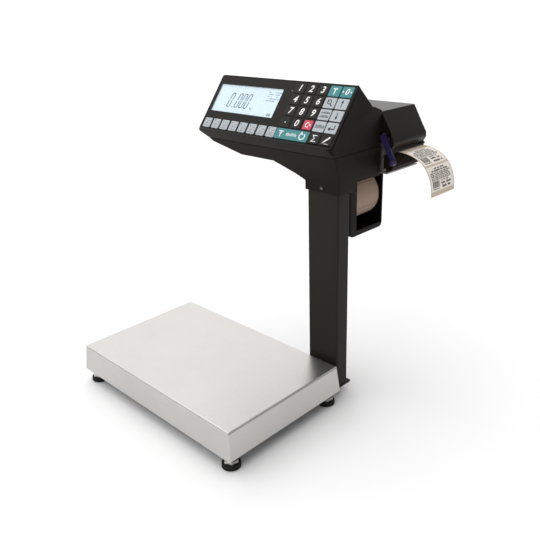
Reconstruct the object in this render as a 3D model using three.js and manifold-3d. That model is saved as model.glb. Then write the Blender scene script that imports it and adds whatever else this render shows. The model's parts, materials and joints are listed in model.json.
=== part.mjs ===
// Label printing scale: a platform scale with a post, a keypad terminal and a label printer.
// Millimetres, +Z up. The pieces are laid out from the platter's centre on the floor, with X to
// the right and Y to the back. At the end the object is moved so that its origin is the centre
// of its footprint.
import * as THREE from "three";
import { mergeVertices } from "three/addons/utils/BufferGeometryUtils.js";
import Module from "manifold-3d";

const wasm = await Module();
wasm.setup();

// ---------------------------------------------------------------- Driving dimensions

const GAP = 0.3; // between two pieces that meet
const OVERCUT = 10; // how far a cutting tool runs past the face that it opens
const ROUND = 24; // sides of a large round piece
const SMALL_ROUND = 12; // sides of a pin, stem or small hole

// Weighing platform
const platterWidth = 336;
const platterDepth = 212.4;
const platterTop = 61.7;
const skirtHeight = 41.6;
const skirtFlare = 4; // the skirt leans out by this much at its lower edge
const platterSheet = 1.2;
const carrierInset = 18; // platter edge to the carrier's edge
const carrierThickness = 4;
const carrierRail = 22;
const weighTravel = 0.5; // how far the load cell bends at full load
const loadCellLength = 130;
const loadCellWidth = 30;
const loadCellHeight = 22;
const cellHoleRadius = 7.9;
const cellHoleSpread = 15.6; // each hole from the bar's middle
const cellPad = 28; // length of each end of the load cell that is bolted down
const spacerHeight = 3;
const carrierPadHeight = 0.6;
const baseThickness = 8;
const baseInset = 4; // platter edge to the base frame's edge
const baseRail = 26;

// Levelling feet
const footInset = 11; // platter edge to the foot's centre
const footPadRadius = 13;
const footPadHeight = 7.5;
const footNutRadius = 10.5;
const footNutHeight = 4;
const footStemRadius = 4;
const footStemTop = 38;
const footNutSink = 1; // the nut and the stem reach into the pad by this much

// Post and its bracket
const postWidth = 53.9;
const postDepth = 24.8;
const postWall = 2;
const postRight = 161.4;
const postSetback = 8; // platter edge to the post's front face
const bracketThickness = 3.6;
const bracketBottom = 14.9;
const bracketFlange = 7.5; // the foot of the post stands out by this much at the back
const bracketTongue = 34; // how far the bracket reaches under the base frame
const bracketPlug = 30; // height of the block inside the post
const bracketSide = 1; // the sole stands out from the post by this much at the sides and front
const postInside = 34; // how far the post reaches up into the terminal

// Terminal case. Heights are measured up from the collar's lower edge.
const collarBottom = 315.5;
const caseWall = 2;
const caseOverhang = 4.6; // the case's right side stands out from the post by this much
const undersideRise = 11;
const neckFrontRise = 19;
const neckSideRise = 12.5;
const seamRise = 52;
const panelRise = 67; // lower edge of the keypad panel
const panelForward = 17.2; // the panel's lower edge in front of the post's front face
const panelSlope = THREE.MathUtils.degToRad(52.4);
const lipReach = 6.6;
const lipDrop = 2.3;
const lipCorner = 6; // the lip's ends are cut back by this much
const rearSlope = THREE.MathUtils.degToRad(44.3);
const shoulderRise = 9; // the rear shoulder above the printer's top
const shoulderDepth = 18;
const bellyRise = 32.6; // flat underside left of the neck
const bellyRun = 65; // length of that flat stretch
const neckRun = 55; // slope from the neck out to the flat stretch
const cornerRise = 46.6; // where the slope to the left-hand corner changes
const cornerRun = 24;

// Keypad panel: a grid of keys, a row of quick keys and the display
const plateThickness = 1.5;
const plateEdge = 2.1; // case rim that shows around the plate
const ledgeThickness = 1.5;
const ledgeReach = 2;
const keyWidth = 18.5;
const keyHeight = 15.2;
const keyColumnGap = 1.7;
const keyRowGap = 2;
const keyColumns = 5;
const keyRows = 5;
const keyRise = 0.8;
const keyTravel = 0.6;
const keyFlange = 0.5;
const keyFlangeThickness = 1.2;
const keyCorner = 1.2;
const quickKeyCount = 8;
const quickKeyWidth = 15.4;
const quickKeyGap = 3.6;
const clearKeyWidth = 15.4;
const clearKeyHeight = 13.6;
const panelMarginLeft = 6.2;
const panelMarginRight = 5.7;
const panelMarginBottom = 0.8;
const panelMarginTop = 3.8;
const blockGap = 1.1; // between the quick keys and the key grid
const displayWidth = 128.5;
const displayHeight = 44.5;
const displayRise = 13; // display above the row of quick keys
const lcdMargin = 1.6;
const lcdThickness = 3;
const boardThickness = 1.6;
const boardMargin = 1;
const boardPartSize = 14;
const boardPartHeight = 6;
const boardPartColumns = [0, 2, 4]; // key columns that have a tall component behind them
const ledgeHold = 1; // the board and the ledge keep this far apart
const displayIndent = 1; // display to the right of the first quick key's left edge

// Power inlet in the case's rear wall
const inletWidth = 14;
const inletHeight = 11;
const inletDepth = 14;
const inletRim = 1.2;
const inletFlange = 2; // the rim stands out from the body by this much
const inletHoleRadius = 3.4;
const inletFromLeft = 36;
const inletRise = 20; // above the seam

// Printer
const labelWidth = 60;
const nearBay = 15; // gears and lever, in front of the labels
const farBay = 5;
const hoodWall = 2;
const printerTopRise = 98;
const hoodBottomRise = 19;
const noseReach = 21.3; // the hood's nose beyond the case's right side
const noseFoot = 0.6; // the nose's lower corner, back from its tip
const noseCorners = [[4, 50], [0, 43], [0.7, 36.5], [6, 28]]; // back from the tip, below the top
const hoodBreak = [6, 12]; // beyond the case's right side, below the top
const hoodCrest = 1; // the top's right-hand edge, left of the case's right side
const hoodCorner = 4; // cut off the top's left-hand edge
const hoodSideRoom = 1; // around the lever's shaft and above the nose's lower edge
const notchFromNose = 4;
const chassisSheet = 2;
const chassisPlate = 2.5;
const chassisRise = 12.7; // underside of the chassis plate
const chassisWallHeight = 58;
const chassisWallLength = 52;
const chassisReach = 10; // beyond the case's right side
const chassisSideRoom = 2; // between the hood's wall and the near chassis wall
const chassisEdge = 1; // the plate stands out in front of the near wall by this much
const wallCorner = [8, 12]; // cut off each side wall's upper right corner
const feedSlotHalf = 14;
const feedSlotRoom = 2; // in front of the labels
const platenRadius = 7;
const platenSetback = 4; // platen axis behind the case's right side
const platenRise = 35.8;
const journalRadius = 3;
const gearModule = 0.8;
const platenTeeth = 20;
const pinionTeeth = 14;
const gearWidth = 5;
const gearRoom = 1.5; // between the near wall and the gears
const toothAddendum = 0.8; // in modules
const toothDedendum = 1.2;
const toothTipShare = 0.1; // half widths of a tooth, as shares of its pitch
const toothRootShare = 0.28;
const platenLip = 0.5; // the roller reaches past the labels by this much
const motorRadius = 11;
const motorLength = 23;
const motorShaftRadius = 2;
const headLength = 19;
const headHeight = 12;
const headNose = 4; // cut off the heater block's far corner, in height
const headNoseRun = 5; // and in length
const headArm = [2, 2.4]; // the arm's half width and height at the pivot
const headPivotRise = 61;
const headPivotSetback = 26; // head pivot behind the platen axis
const leverPivotRise = 64;
const leverPivotReach = 5.5; // beyond the case's right side
const leverLength = 37;
const leverAngle = THREE.MathUtils.degToRad(-60.5);
const leverHub = 4.5;
const leverTip = 3.6;
const leverThickness = 4;
const leverKnob = 9;
const trayReach = 21;
const trayGap = 2.5; // between the platen and the tray
const trayDrop = 2.4; // tray's top below the platen's top
const trayRise = 20.5;
const traySheet = 2;
const trayFoot = [1, 4]; // the lip's lower corner: back from its edge, and up
const trayBrow = [4, 6]; // its upper corner: back from its edge, and below the top
const trayFlat = 11; // where the flat top ends, back from the edge
const hingeRadius = 3;
const hingePinRadius = 1.3;
const hingeKnuckle = 18.5;
const hingeOut = 2.5; // hinge axis outside the hood's left face
const hingeUp = 1.5; // and above its lower edge
const hingeMargin = 4;
const middleKnuckleStep = 0.8; // the middle knuckle is smaller by this much
const hingeTab = [2, 6]; // the middle knuckle's tab, outside and inside the hood's left face

// Label supply
const rollRadius = 37;
const coreRadius = 12.5;
const rollSetback = 86; // roll axis behind the platen axis
const rollHeadroom = 17.7;
const rollClearance = 16; // below the roll
const rollSideRoom = 3;
const boxWall = 1.5;
const boxCorner = 6;
const boxCornerShare = 0.3; // where the corner's middle point lies, as a share of the corner
const boxSill = 8; // wall left below the window
const spindleJournal = 4;
const spindleInset = 1; // the spindle's drum is shorter than the roll by this much at each end
const rollSides = 36;
const stripThickness = 0.4;
const stripStraight = 18; // level run of the strip past the platen
const stripReach = 59.5;
const stripDrop = 56;
const stripBend = 38; // length of the curve's two handles
const stripSteps = 14;
const webSteps = 3; // steps of the strip round the platen

// ---------------------------------------------------------------- Materials

const finishes = {
  stainless: { color: 0xd6d2ce, roughness: 0.35, metalness: 0.9 },
  zincSteel: { color: 0xb4b2ae, roughness: 0.45, metalness: 0.8 },
  aluminium: { color: 0xc4c6c8, roughness: 0.4, metalness: 0.9 },
  blackSteel: { color: 0x2b2824, roughness: 0.5, metalness: 0.2 },
  blackPlastic: { color: 0x1f1c19, roughness: 0.5, metalness: 0 },
  panelFilm: { color: 0x2f2b28, roughness: 0.4, metalness: 0 },
  greyKey: { color: 0xa6a8aa, roughness: 0.45, metalness: 0 },
  darkKey: { color: 0x2b2826, roughness: 0.4, metalness: 0 },
  tealKey: { color: 0x3f888c, roughness: 0.4, metalness: 0 },
  redKey: { color: 0xcc4a5c, roughness: 0.4, metalness: 0 },
  windowGlass: { color: 0xdfeef2, roughness: 0.1, metalness: 0, transparent: true, opacity: 0.35 },
  lcd: { color: 0xd6e6ec, roughness: 0.3, metalness: 0 },
  board: { color: 0x1f6b3a, roughness: 0.6, metalness: 0 },
  rubber: { color: 0x1b1b1b, roughness: 0.8, metalness: 0 },
  violetPlastic: { color: 0x3a3160, roughness: 0.45, metalness: 0 },
  paper: { color: 0xe6dfd2, roughness: 0.75, metalness: 0 },
};

const materials = {};
for (const [name, values] of Object.entries(finishes)) {
  materials[name] = new THREE.MeshStandardMaterial(values);
}

// ---------------------------------------------------------------- Solids

function toSolid(geometry) {
  const bare = geometry.clone();
  bare.deleteAttribute("normal");
  bare.deleteAttribute("uv");
  const merged = mergeVertices(bare, 1e-4);
  const vertProperties = new Float32Array(merged.getAttribute("position").array);
  const triVerts = new Uint32Array(merged.index.array);
  return new wasm.Manifold(new wasm.Mesh({ numProp: 3, vertProperties, triVerts }));
}

function toGeometry(solid) {
  const { vertProperties, triVerts } = solid.getMesh();
  const geometry = new THREE.BufferGeometry();
  geometry.setAttribute("position", new THREE.BufferAttribute(new Float32Array(vertProperties), 3));
  geometry.setIndex(new THREE.BufferAttribute(new Uint32Array(triVerts), 1));
  return geometry;
}

function join(...solids) {
  return solids.reduce((whole, solid) => whole.add(solid));
}

function block(x0, x1, y0, y1, z0, z1) {
  const box = new THREE.BoxGeometry(x1 - x0, y1 - y0, z1 - z0);
  return toSolid(box.translate((x0 + x1) / 2, (y0 + y1) / 2, (z0 + z1) / 2));
}

// Extrudes an outline given as [a, b] pairs. Along Z the pairs are x, y; along X they are y, z;
// along Y they are x, z.
const extrusionFrames = {
  Z: (from) => new THREE.Matrix4().makeTranslation(0, 0, from),
  X: (from) => new THREE.Matrix4().makeBasis(
    new THREE.Vector3(0, 1, 0),
    new THREE.Vector3(0, 0, 1),
    new THREE.Vector3(1, 0, 0),
  ).setPosition(from, 0, 0),
  Y: (from, to) => new THREE.Matrix4().makeBasis(
    new THREE.Vector3(1, 0, 0),
    new THREE.Vector3(0, 0, 1),
    new THREE.Vector3(0, -1, 0),
  ).setPosition(0, to, 0),
};

function prism(axis, outline, from, to) {
  const shape = new THREE.Shape(outline.map(([a, b]) => new THREE.Vector2(a, b)));
  const geometry = new THREE.ExtrudeGeometry(shape, { depth: to - from, bevelEnabled: false });
  return toSolid(geometry.applyMatrix4(extrusionFrames[axis](from, to)));
}

// A round bar along Y, centred at x, z, or along Z, centred at x, y.
function barY(x, z, radius, from, to, sides = SMALL_ROUND) {
  const bar = new THREE.CylinderGeometry(radius, radius, to - from, sides);
  return toSolid(bar.translate(x, (from + to) / 2, z));
}

function barZ(x, y, radius, from, to, sides = SMALL_ROUND) {
  const bar = new THREE.CylinderGeometry(radius, radius, to - from, sides).rotateX(Math.PI / 2);
  return toSolid(bar.translate(x, y, (from + to) / 2));
}

// A rectangle with one facet across each corner, as [a, b] pairs.
function rectangle(left, right, bottom, top, corner = 0) {
  if (corner === 0) return [[left, bottom], [right, bottom], [right, top], [left, top]];
  return [
    [left + corner, bottom], [right - corner, bottom], [right, bottom + corner], [right, top - corner],
    [right - corner, top], [left + corner, top], [left, top - corner], [left, bottom + corner],
  ];
}

// The same outline moved inwards by a wall's thickness. The outline runs anticlockwise.
function inset(outline, wall) {
  const points = outline.map(([a, b]) => new THREE.Vector2(a, b));
  const count = points.length;
  return points.map((point, i) => {
    const before = point.clone().sub(points[(i + count - 1) % count]).normalize();
    const after = points[(i + 1) % count].clone().sub(point).normalize();
    const inward = new THREE.Vector2(-before.y - after.y, before.x + after.x);
    const reach = (2 * wall) / inward.lengthSq();
    return [point.x + inward.x * reach, point.y + inward.y * reach];
  });
}

const object = new THREE.Group();

function addNode(name, solid, material, parent = object) {
  const mesh = new THREE.Mesh(toGeometry(solid), materials[material]);
  mesh.name = name;
  parent.add(mesh);
}

// ---------------------------------------------------------------- Weighing platform

const halfWidth = platterWidth / 2;
const halfDepth = platterDepth / 2;
const skirtBottom = platterTop - skirtHeight;

// A block whose top measures halfX by halfY each way and which widens downwards.
function frustum(halfX, halfY, flare, bottom, top) {
  const box = new THREE.BoxGeometry(1, 1, 1);
  const position = box.getAttribute("position");
  for (let i = 0; i < position.count; i += 1) {
    const low = position.getZ(i) < 0;
    const widen = low ? flare : 0;
    const x = Math.sign(position.getX(i)) * (halfX + widen);
    const y = Math.sign(position.getY(i)) * (halfY + widen);
    position.setXYZ(i, x, y, low ? bottom : top);
  }
  return toSolid(box);
}

function makePlatter() {
  const outside = frustum(halfWidth, halfDepth, skirtFlare, skirtBottom, platterTop);
  const cutBottom = skirtBottom - OVERCUT;
  const underside = platterTop - platterSheet;
  const cutFlare = (skirtFlare * (underside - cutBottom)) / skirtHeight;
  const inside = frustum(halfWidth - platterSheet, halfDepth - platterSheet, cutFlare, cutBottom, underside);
  return outside.subtract(inside);
}

addNode("platter", makePlatter(), "stainless");

const carrierTop = platterTop - platterSheet - GAP;
const carrierBottom = carrierTop - carrierThickness;
const cellTop = carrierBottom - carrierPadHeight - weighTravel - GAP;
const cellBottom = cellTop - loadCellHeight;
const baseTop = cellBottom - GAP - spacerHeight;
const baseBottom = baseTop - baseThickness;
const cellHalf = loadCellLength / 2;

// Carrier: two long rails, two cross rails and a pad over the load cell's free end.
function makeCarrier() {
  const x = halfWidth - carrierInset;
  const y = halfDepth - carrierInset;
  const crossX = cellHalf - cellPad / 2;
  const half = carrierRail / 2;
  const railY = y - half;
  const rails = [-1, 1].flatMap((side) => [
    block(-x, x, side * railY - half, side * railY + half, carrierBottom, carrierTop),
    block(side * crossX - half, side * crossX + half, -y, y, carrierBottom, carrierTop),
  ]);
  const pad = block(cellHalf - cellPad, cellHalf, -loadCellWidth / 2, loadCellWidth / 2,
    carrierBottom - carrierPadHeight, carrierTop);
  return join(...rails, pad);
}

addNode("platter_frame", makeCarrier(), "zincSteel");

// Load cell: a bar with two linked holes that leave four thin flexures.
function makeLoadCell() {
  const middle = (cellTop + cellBottom) / 2;
  const halfY = loadCellWidth / 2;
  const bar = block(-cellHalf, cellHalf, -halfY, halfY, cellBottom, cellTop);
  const reach = halfY + OVERCUT;
  const holes = [-1, 1].map((side) =>
    barY(side * cellHoleSpread, middle, cellHoleRadius, -reach, reach, ROUND));
  const slot = block(-cellHoleSpread, cellHoleSpread, -reach, reach,
    middle - cellHoleRadius / 2, middle + cellHoleRadius / 2);
  return bar.subtract(join(...holes, slot));
}

addNode("load_cell", makeLoadCell(), "aluminium");

const footX = halfWidth - footInset;
const footY = halfDepth - footInset;

// Base frame: a ring with a beam for the load cell, a spacer under its fixed end and four holes.
function makeBaseFrame() {
  const x = halfWidth - baseInset;
  const y = halfDepth - baseInset;
  const ring = block(-x, x, -y, y, baseBottom, baseTop).subtract(
    block(-x + baseRail, x - baseRail, -y + baseRail, y - baseRail, baseBottom - OVERCUT, baseTop + OVERCUT));
  const beam = block(-x, x, -loadCellWidth / 2, loadCellWidth / 2, baseBottom, baseTop);
  const spacer = block(-cellHalf, -cellHalf + cellPad, -loadCellWidth / 2, loadCellWidth / 2,
    baseBottom, baseTop + spacerHeight);
  const holes = [-1, 1].flatMap((sideX) => [-1, 1].map((sideY) =>
    barZ(sideX * footX, sideY * footY, footStemRadius + GAP, baseBottom - OVERCUT, baseTop + OVERCUT)));
  return join(ring, beam, spacer).subtract(join(...holes));
}

addNode("base_frame", makeBaseFrame(), "blackSteel");

function makeFoot(x, y) {
  const nutBottom = footPadHeight - footNutSink;
  return join(
    barZ(x, y, footPadRadius, 0, footPadHeight, ROUND),
    barZ(x, y, footNutRadius, nutBottom, footPadHeight + footNutHeight, ROUND),
    barZ(x, y, footStemRadius, nutBottom, footStemTop),
  );
}

const footPlaces = {
  foot_front_left: [-footX, -footY],
  foot_front_right: [footX, -footY],
  foot_rear_left: [-footX, footY],
  foot_rear_right: [footX, footY],
};
for (const [name, [x, y]] of Object.entries(footPlaces)) {
  addNode(name, makeFoot(x, y), "rubber");
}

// ---------------------------------------------------------------- Post

const postLeft = postRight - postWidth;
const postFront = halfDepth + postSetback;
const postBack = postFront + postDepth;
const postBottom = bracketBottom + bracketThickness + GAP;
const postTop = collarBottom + postInside;

function makePost() {
  const tube = block(postLeft, postRight, postFront, postBack, postBottom, postTop);
  const bore = block(postLeft + postWall, postRight - postWall, postFront + postWall, postBack - postWall,
    postBottom - OVERCUT, postTop + OVERCUT);
  return tube.subtract(bore);
}

addNode("post", makePost(), "blackSteel");

// Bracket: a plate that runs from under the base frame to the post, with a plug inside the post.
function makeBracket() {
  const plateTop = bracketBottom + bracketThickness;
  const tongueRight = footX - footPadRadius - 2 * GAP;
  const tongueBack = postFront - GAP;
  const tongue = block(tongueRight - postWidth, tongueRight, halfDepth - bracketTongue - baseRail, postBack,
    bracketBottom, plateTop);
  const sole = block(postLeft - bracketSide, postRight + bracketSide, tongueBack - bracketSide,
    postBack + bracketFlange, bracketBottom, plateTop);
  const away = postWall + GAP;
  const plug = block(postLeft + away, postRight - away, postFront + away, postBack - away,
    bracketBottom, plateTop + bracketPlug);
  return join(tongue, sole, plug);
}

addNode("post_bracket", makeBracket(), "blackSteel");

// ---------------------------------------------------------------- Terminal case

const gridWidth = keyColumns * keyWidth + (keyColumns - 1) * keyColumnGap;
const quickWidth = quickKeyCount * quickKeyWidth + (quickKeyCount - 1) * quickKeyGap;
const panelWidth = panelMarginLeft + quickWidth + blockGap + gridWidth + panelMarginRight;
const panelLength = panelMarginBottom + keyRows * keyHeight + (keyRows - 1) * keyRowGap + panelMarginTop;
const caseRight = postRight + caseOverhang;
const caseLeft = caseRight - panelWidth;
const collarFront = postFront - GAP - caseWall;
const collarBack = postBack + GAP + caseWall;
const collarLeft = postLeft - GAP - caseWall;
const panelY = postFront - panelForward;
const panelZ = collarBottom + panelRise;
const panelTopY = panelY + panelLength * Math.cos(panelSlope);
const panelTopZ = panelZ + panelLength * Math.sin(panelSlope);
const seam = collarBottom + seamRise;
const printerTop = collarBottom + printerTopRise;
const shoulderZ = printerTop + shoulderRise;
const shoulderY = panelTopY + (panelTopZ - shoulderZ) / Math.tan(rearSlope);
const caseRear = shoulderY + shoulderDepth;

// The case seen from the right, as y, z pairs.
const caseSection = [
  [collarFront, collarBottom],
  [collarBack, collarBottom],
  [collarBack, collarBottom + undersideRise],
  [caseRear, collarBottom + undersideRise],
  [caseRear, printerTop + caseWall],
  [shoulderY, shoulderZ],
  [panelTopY, panelTopZ],
  [panelY, panelZ],
  [panelY - lipReach, panelZ - lipDrop],
  [panelY + lipDrop, seam],
  [collarFront, collarBottom + neckFrontRise],
];

// The case seen from the front, as x, z pairs: it sweeps up from the neck to the left.
const bellyRight = collarLeft - neckRun;
const caseFrontView = [
  [collarLeft, collarBottom],
  [caseRight, collarBottom],
  [caseRight, panelTopZ + OVERCUT],
  [caseLeft, panelTopZ + OVERCUT],
  [caseLeft, panelZ - lipDrop],
  [caseLeft + cornerRun, collarBottom + cornerRise],
  [bellyRight - bellyRun, collarBottom + bellyRise],
  [bellyRight, collarBottom + bellyRise],
  [collarLeft, collarBottom + neckSideRise],
];

// The panel's own frame: x to the right, y up the slope, z out of the panel.
const panelFrame = new THREE.Matrix4().makeRotationX(panelSlope).setPosition(0, panelY, panelZ);

function panelBlock(left, right, bottom, top, low, high) {
  const box = new THREE.BoxGeometry(right - left, top - bottom, high - low);
  box.translate((left + right) / 2, (bottom + top) / 2, (low + high) / 2);
  return toSolid(box.applyMatrix4(panelFrame));
}

const plate = {
  left: caseLeft + plateEdge,
  right: caseRight - plateEdge,
  bottom: 2 * GAP,
  top: panelLength - plateEdge + 2 * GAP,
};
const plateHole = {
  left: plate.left - GAP,
  right: plate.right + GAP,
  bottom: plate.bottom - GAP,
  top: plate.top + GAP,
};
const keysLeft = caseLeft + panelMarginLeft;
const keysRight = caseRight - panelMarginRight;
const keysTop = panelLength - panelMarginTop;
const throughHole = {
  left: keysLeft - keyFlange - GAP,
  right: keysRight + keyFlange + GAP,
  bottom: plateHole.bottom,
  top: keysTop + keyFlange + GAP,
};

function makeCaseShell() {
  const reach = panelWidth + caseRear;
  const lipY = panelY - lipReach;
  const plan = [
    [caseLeft, lipY + lipCorner],
    [caseLeft + lipCorner, lipY],
    [caseRight - lipCorner, lipY],
    [caseRight, lipY + lipCorner],
    [caseRight, caseRear],
    [caseLeft, caseRear],
  ];
  const outside = prism("X", caseSection, caseLeft, caseRight)
    .intersect(prism("Y", caseFrontView, collarFront - reach, caseRear + reach))
    .intersect(prism("Z", plan, collarBottom - OVERCUT, panelTopZ + OVERCUT));
  const inside = prism("X", inset(caseSection, caseWall), caseLeft + caseWall, caseRight - caseWall)
    .intersect(prism("Y", inset(caseFrontView, caseWall), collarFront - reach, caseRear + reach));
  const window = panelBlock(plateHole.left, plateHole.right, plateHole.bottom, plateHole.top,
    -caseWall - ledgeThickness / 2, OVERCUT);
  const ledgeTop = -plateThickness - GAP;
  const ledge = panelBlock(plateHole.left - ledgeReach, plateHole.right + ledgeReach, plateHole.bottom,
    plateHole.top + ledgeReach, ledgeTop - ledgeThickness, ledgeTop);
  const opening = panelBlock(throughHole.left, throughHole.right, throughHole.bottom - OVERCUT / 2,
    throughHole.top, ledgeTop - OVERCUT, ledgeTop + OVERCUT);
  const postHole = block(postLeft - GAP, postRight + GAP, postFront - GAP, postBack + GAP,
    collarBottom - OVERCUT, postTop);
  const rim = ledge.intersect(outside).subtract(opening);
  return outside.subtract(inside).subtract(window).add(rim).subtract(postHole);
}

const printerFront = caseRear + GAP;
const platenX = caseRight - platenSetback;
const platenZ = collarBottom + platenRise;
const gearDistance = (gearModule * (platenTeeth + pinionTeeth)) / 2;
const motorX = platenX - gearDistance;
const inletX = caseLeft + inletFromLeft;
const inletZ = seam + inletRise;

function makeCases() {
  const motorHole = barY(motorX, platenZ, motorRadius + 2 * GAP, caseRear - OVERCUT,
    caseRear + OVERCUT, ROUND);
  const halfX = inletWidth / 2 + GAP;
  const halfZ = inletHeight / 2 + GAP;
  const inletHole = block(inletX - halfX, inletX + halfX, caseRear - OVERCUT, caseRear + OVERCUT,
    inletZ - halfZ, inletZ + halfZ);
  const shell = makeCaseShell().subtract(motorHole).subtract(inletHole);
  const reach = panelWidth + caseRear;
  const above = block(-reach, reach, -reach, reach, seam + GAP / 2, panelTopZ + reach);
  const below = block(-reach, reach, -reach, reach, collarBottom - OVERCUT, seam - GAP / 2);
  return { upper: shell.intersect(above), lower: shell.intersect(below) };
}

const cases = makeCases();
addNode("upper_case", cases.upper, "blackPlastic");
addNode("lower_case", cases.lower, "blackPlastic");

function makeInlet() {
  const halfX = inletWidth / 2;
  const halfZ = inletHeight / 2;
  const body = block(inletX - halfX, inletX + halfX, caseRear - inletDepth, caseRear + GAP + inletRim,
    inletZ - halfZ, inletZ + halfZ);
  const rimX = halfX + inletFlange;
  const rimZ = halfZ + inletFlange;
  const rim = block(inletX - rimX, inletX + rimX, caseRear + GAP, caseRear + GAP + inletRim,
    inletZ - rimZ, inletZ + rimZ);
  const hole = barY(inletX, inletZ, inletHoleRadius, caseRear - inletDepth + caseWall, caseRear + OVERCUT);
  return join(body, rim).subtract(hole);
}

addNode("power_inlet", makeInlet(), "blackPlastic");

// ---------------------------------------------------------------- Keypad, display and board

const panel = new THREE.Group();
panel.position.set(0, panelY, panelZ);
panel.rotation.x = panelSlope;
object.add(panel);

const columnPitch = keyWidth + keyColumnGap;
const rowPitch = keyHeight + keyRowGap;
const gridLeft = keysRight - gridWidth;
const columnX = (column) => gridLeft + keyWidth / 2 + column * columnPitch;
const rowY = (row) => panelMarginBottom + keyHeight / 2 + row * rowPitch;

const keys = [];

function listKey(name, x, y, width, height, material) {
  keys.push({ name, x, y, width, height, material });
}

for (let i = 0; i < quickKeyCount; i += 1) {
  const x = keysLeft + quickKeyWidth / 2 + i * (quickKeyWidth + quickKeyGap);
  listKey(`quick_key_${i + 1}`, x, rowY(0), quickKeyWidth, keyHeight, "greyKey");
}
for (let digit = 1; digit <= 9; digit += 1) {
  const column = (digit - 1) % 3;
  const row = 4 - Math.floor((digit - 1) / 3);
  listKey(`digit_key_${digit}`, columnX(column), rowY(row), keyWidth, keyHeight, "darkKey");
}
listKey("point_key", columnX(0), rowY(1), keyWidth, keyHeight, "darkKey");
listKey("digit_key_0", columnX(1), rowY(1), keyWidth, keyHeight, "darkKey");
listKey("clear_key", columnX(2), rowY(1), clearKeyWidth, clearKeyHeight, "redKey");

const functionKeys = [
  ["tare_key", 3, 4, "tealKey"],
  ["zero_key", 4, 4, "tealKey"],
  ["search_key", 3, 3, "greyKey"],
  ["up_key", 4, 3, "greyKey"],
  ["mode_key", 3, 2, "greyKey"],
  ["down_key", 4, 2, "greyKey"],
  ["item_key", 3, 1, "greyKey"],
  ["enter_key", 4, 1, "greyKey"],
  ["total_key", 3, 0, "darkKey"],
  ["edit_key", 4, 0, "darkKey"],
];
for (const [name, column, row, material] of functionKeys) {
  listKey(name, columnX(column), rowY(row), keyWidth, keyHeight, material);
}
const printKeyWidth = 3 * keyWidth + 2 * keyColumnGap;
listKey("print_key", columnX(1), rowY(0), printKeyWidth, keyHeight, "tealKey");

function keyOutline({ x, y, width, height }, grow) {
  const halfX = width / 2 + grow;
  const halfY = height / 2 + grow;
  return rectangle(x - halfX, x + halfX, y - halfY, y + halfY, keyCorner + grow);
}

const flangeTop = -plateThickness - GAP;
const flangeBottom = flangeTop - keyFlangeThickness;
for (const key of keys) {
  const cap = prism("Z", keyOutline(key, 0), flangeBottom, keyRise);
  const flange = prism("Z", keyOutline(key, keyFlange), flangeBottom, flangeTop);
  addNode(key.name, cap.add(flange), key.material, panel);
}

const displayLeft = keysLeft + displayIndent;
const displayBottom = rowY(0) + keyHeight / 2 + displayRise;
const display = [displayLeft, displayLeft + displayWidth, displayBottom, displayBottom + displayHeight];

function makePlate() {
  const sheet = prism("Z", rectangle(plate.left, plate.right, plate.bottom, plate.top), -plateThickness, 0);
  const keyHoles = keys.map((key) => prism("Z", keyOutline(key, GAP), -OVERCUT, OVERCUT));
  const displayHole = prism("Z", inset(rectangle(...display), -GAP), -OVERCUT, OVERCUT);
  return sheet.subtract(join(...keyHoles, displayHole));
}

addNode("keypad_plate", makePlate(), "panelFilm", panel);
addNode("display_window", prism("Z", rectangle(...display), -plateThickness, 0), "windowGlass", panel);

const lcdTop = -plateThickness - GAP;
const lcdOutline = inset(rectangle(...display), -lcdMargin);
addNode("lcd_panel", prism("Z", lcdOutline, lcdTop - lcdThickness, lcdTop), "lcd", panel);

// Main board: an L behind the keys, clear of the display, with three tall components on its back.
function makeBoard() {
  const top = flangeBottom - keyTravel - 2 * GAP;
  const bottom = top - boardThickness;
  const left = throughHole.left + boardMargin;
  const right = throughHole.right - boardMargin;
  const foot = throughHole.bottom + ledgeHold + boardMargin;
  const strip = prism("Z", rectangle(left, right, foot, rowY(0) + keyHeight / 2), bottom, top);
  const field = prism("Z", rectangle(gridLeft, right, foot, throughHole.top - boardMargin), bottom, top);
  const half = boardPartSize / 2;
  const y = rowY((keyRows - 1) / 2);
  const parts = boardPartColumns.map(columnX).map((x) =>
    prism("Z", rectangle(x - half, x + half, y - half, y + half), bottom - boardPartHeight, top));
  return join(strip, field, ...parts);
}

addNode("main_board", makeBoard(), "board", panel);

// ---------------------------------------------------------------- Printer

const printerDepth = nearBay + labelWidth + farBay;
const printerBack = printerFront + printerDepth;
const labelFront = printerFront + nearBay;
const labelBack = labelFront + labelWidth;
const rollX = platenX - rollSetback;
const boxLeft = rollX - rollRadius - rollSideRoom - boxWall;
const boxRight = rollX + rollRadius + rollSideRoom;
const hoodBottom = collarBottom + hoodBottomRise;
const stripMiddle = platenZ + platenRadius + GAP + stripThickness / 2;
const stripTop = stripMiddle + stripThickness / 2;
const noseBottom = stripTop + 3 * GAP;
const noseTip = caseRight + noseReach;
const hingeX = boxLeft - hingeOut;
const hingeZ = hoodBottom + hingeUp;
const hingeStart = printerFront + hoodWall + hingeMargin;
const hingeEnd = printerBack - hoodWall - hingeMargin;

// Hood seen from the front, as x, z pairs, from its lower left round the nose to the top.
const hoodSection = [
  [boxLeft, hoodBottom],
  [caseRight, hoodBottom],
  [caseRight, noseBottom],
  [noseTip - noseFoot, noseBottom],
  ...noseCorners.map(([back, below]) => [noseTip - back, printerTop - below]),
  [caseRight + hoodBreak[0], printerTop - hoodBreak[1]],
  [caseRight - hoodCrest, printerTop],
  [boxLeft + hoodCorner, printerTop],
  [boxLeft, printerTop - hoodCorner],
];

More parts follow.
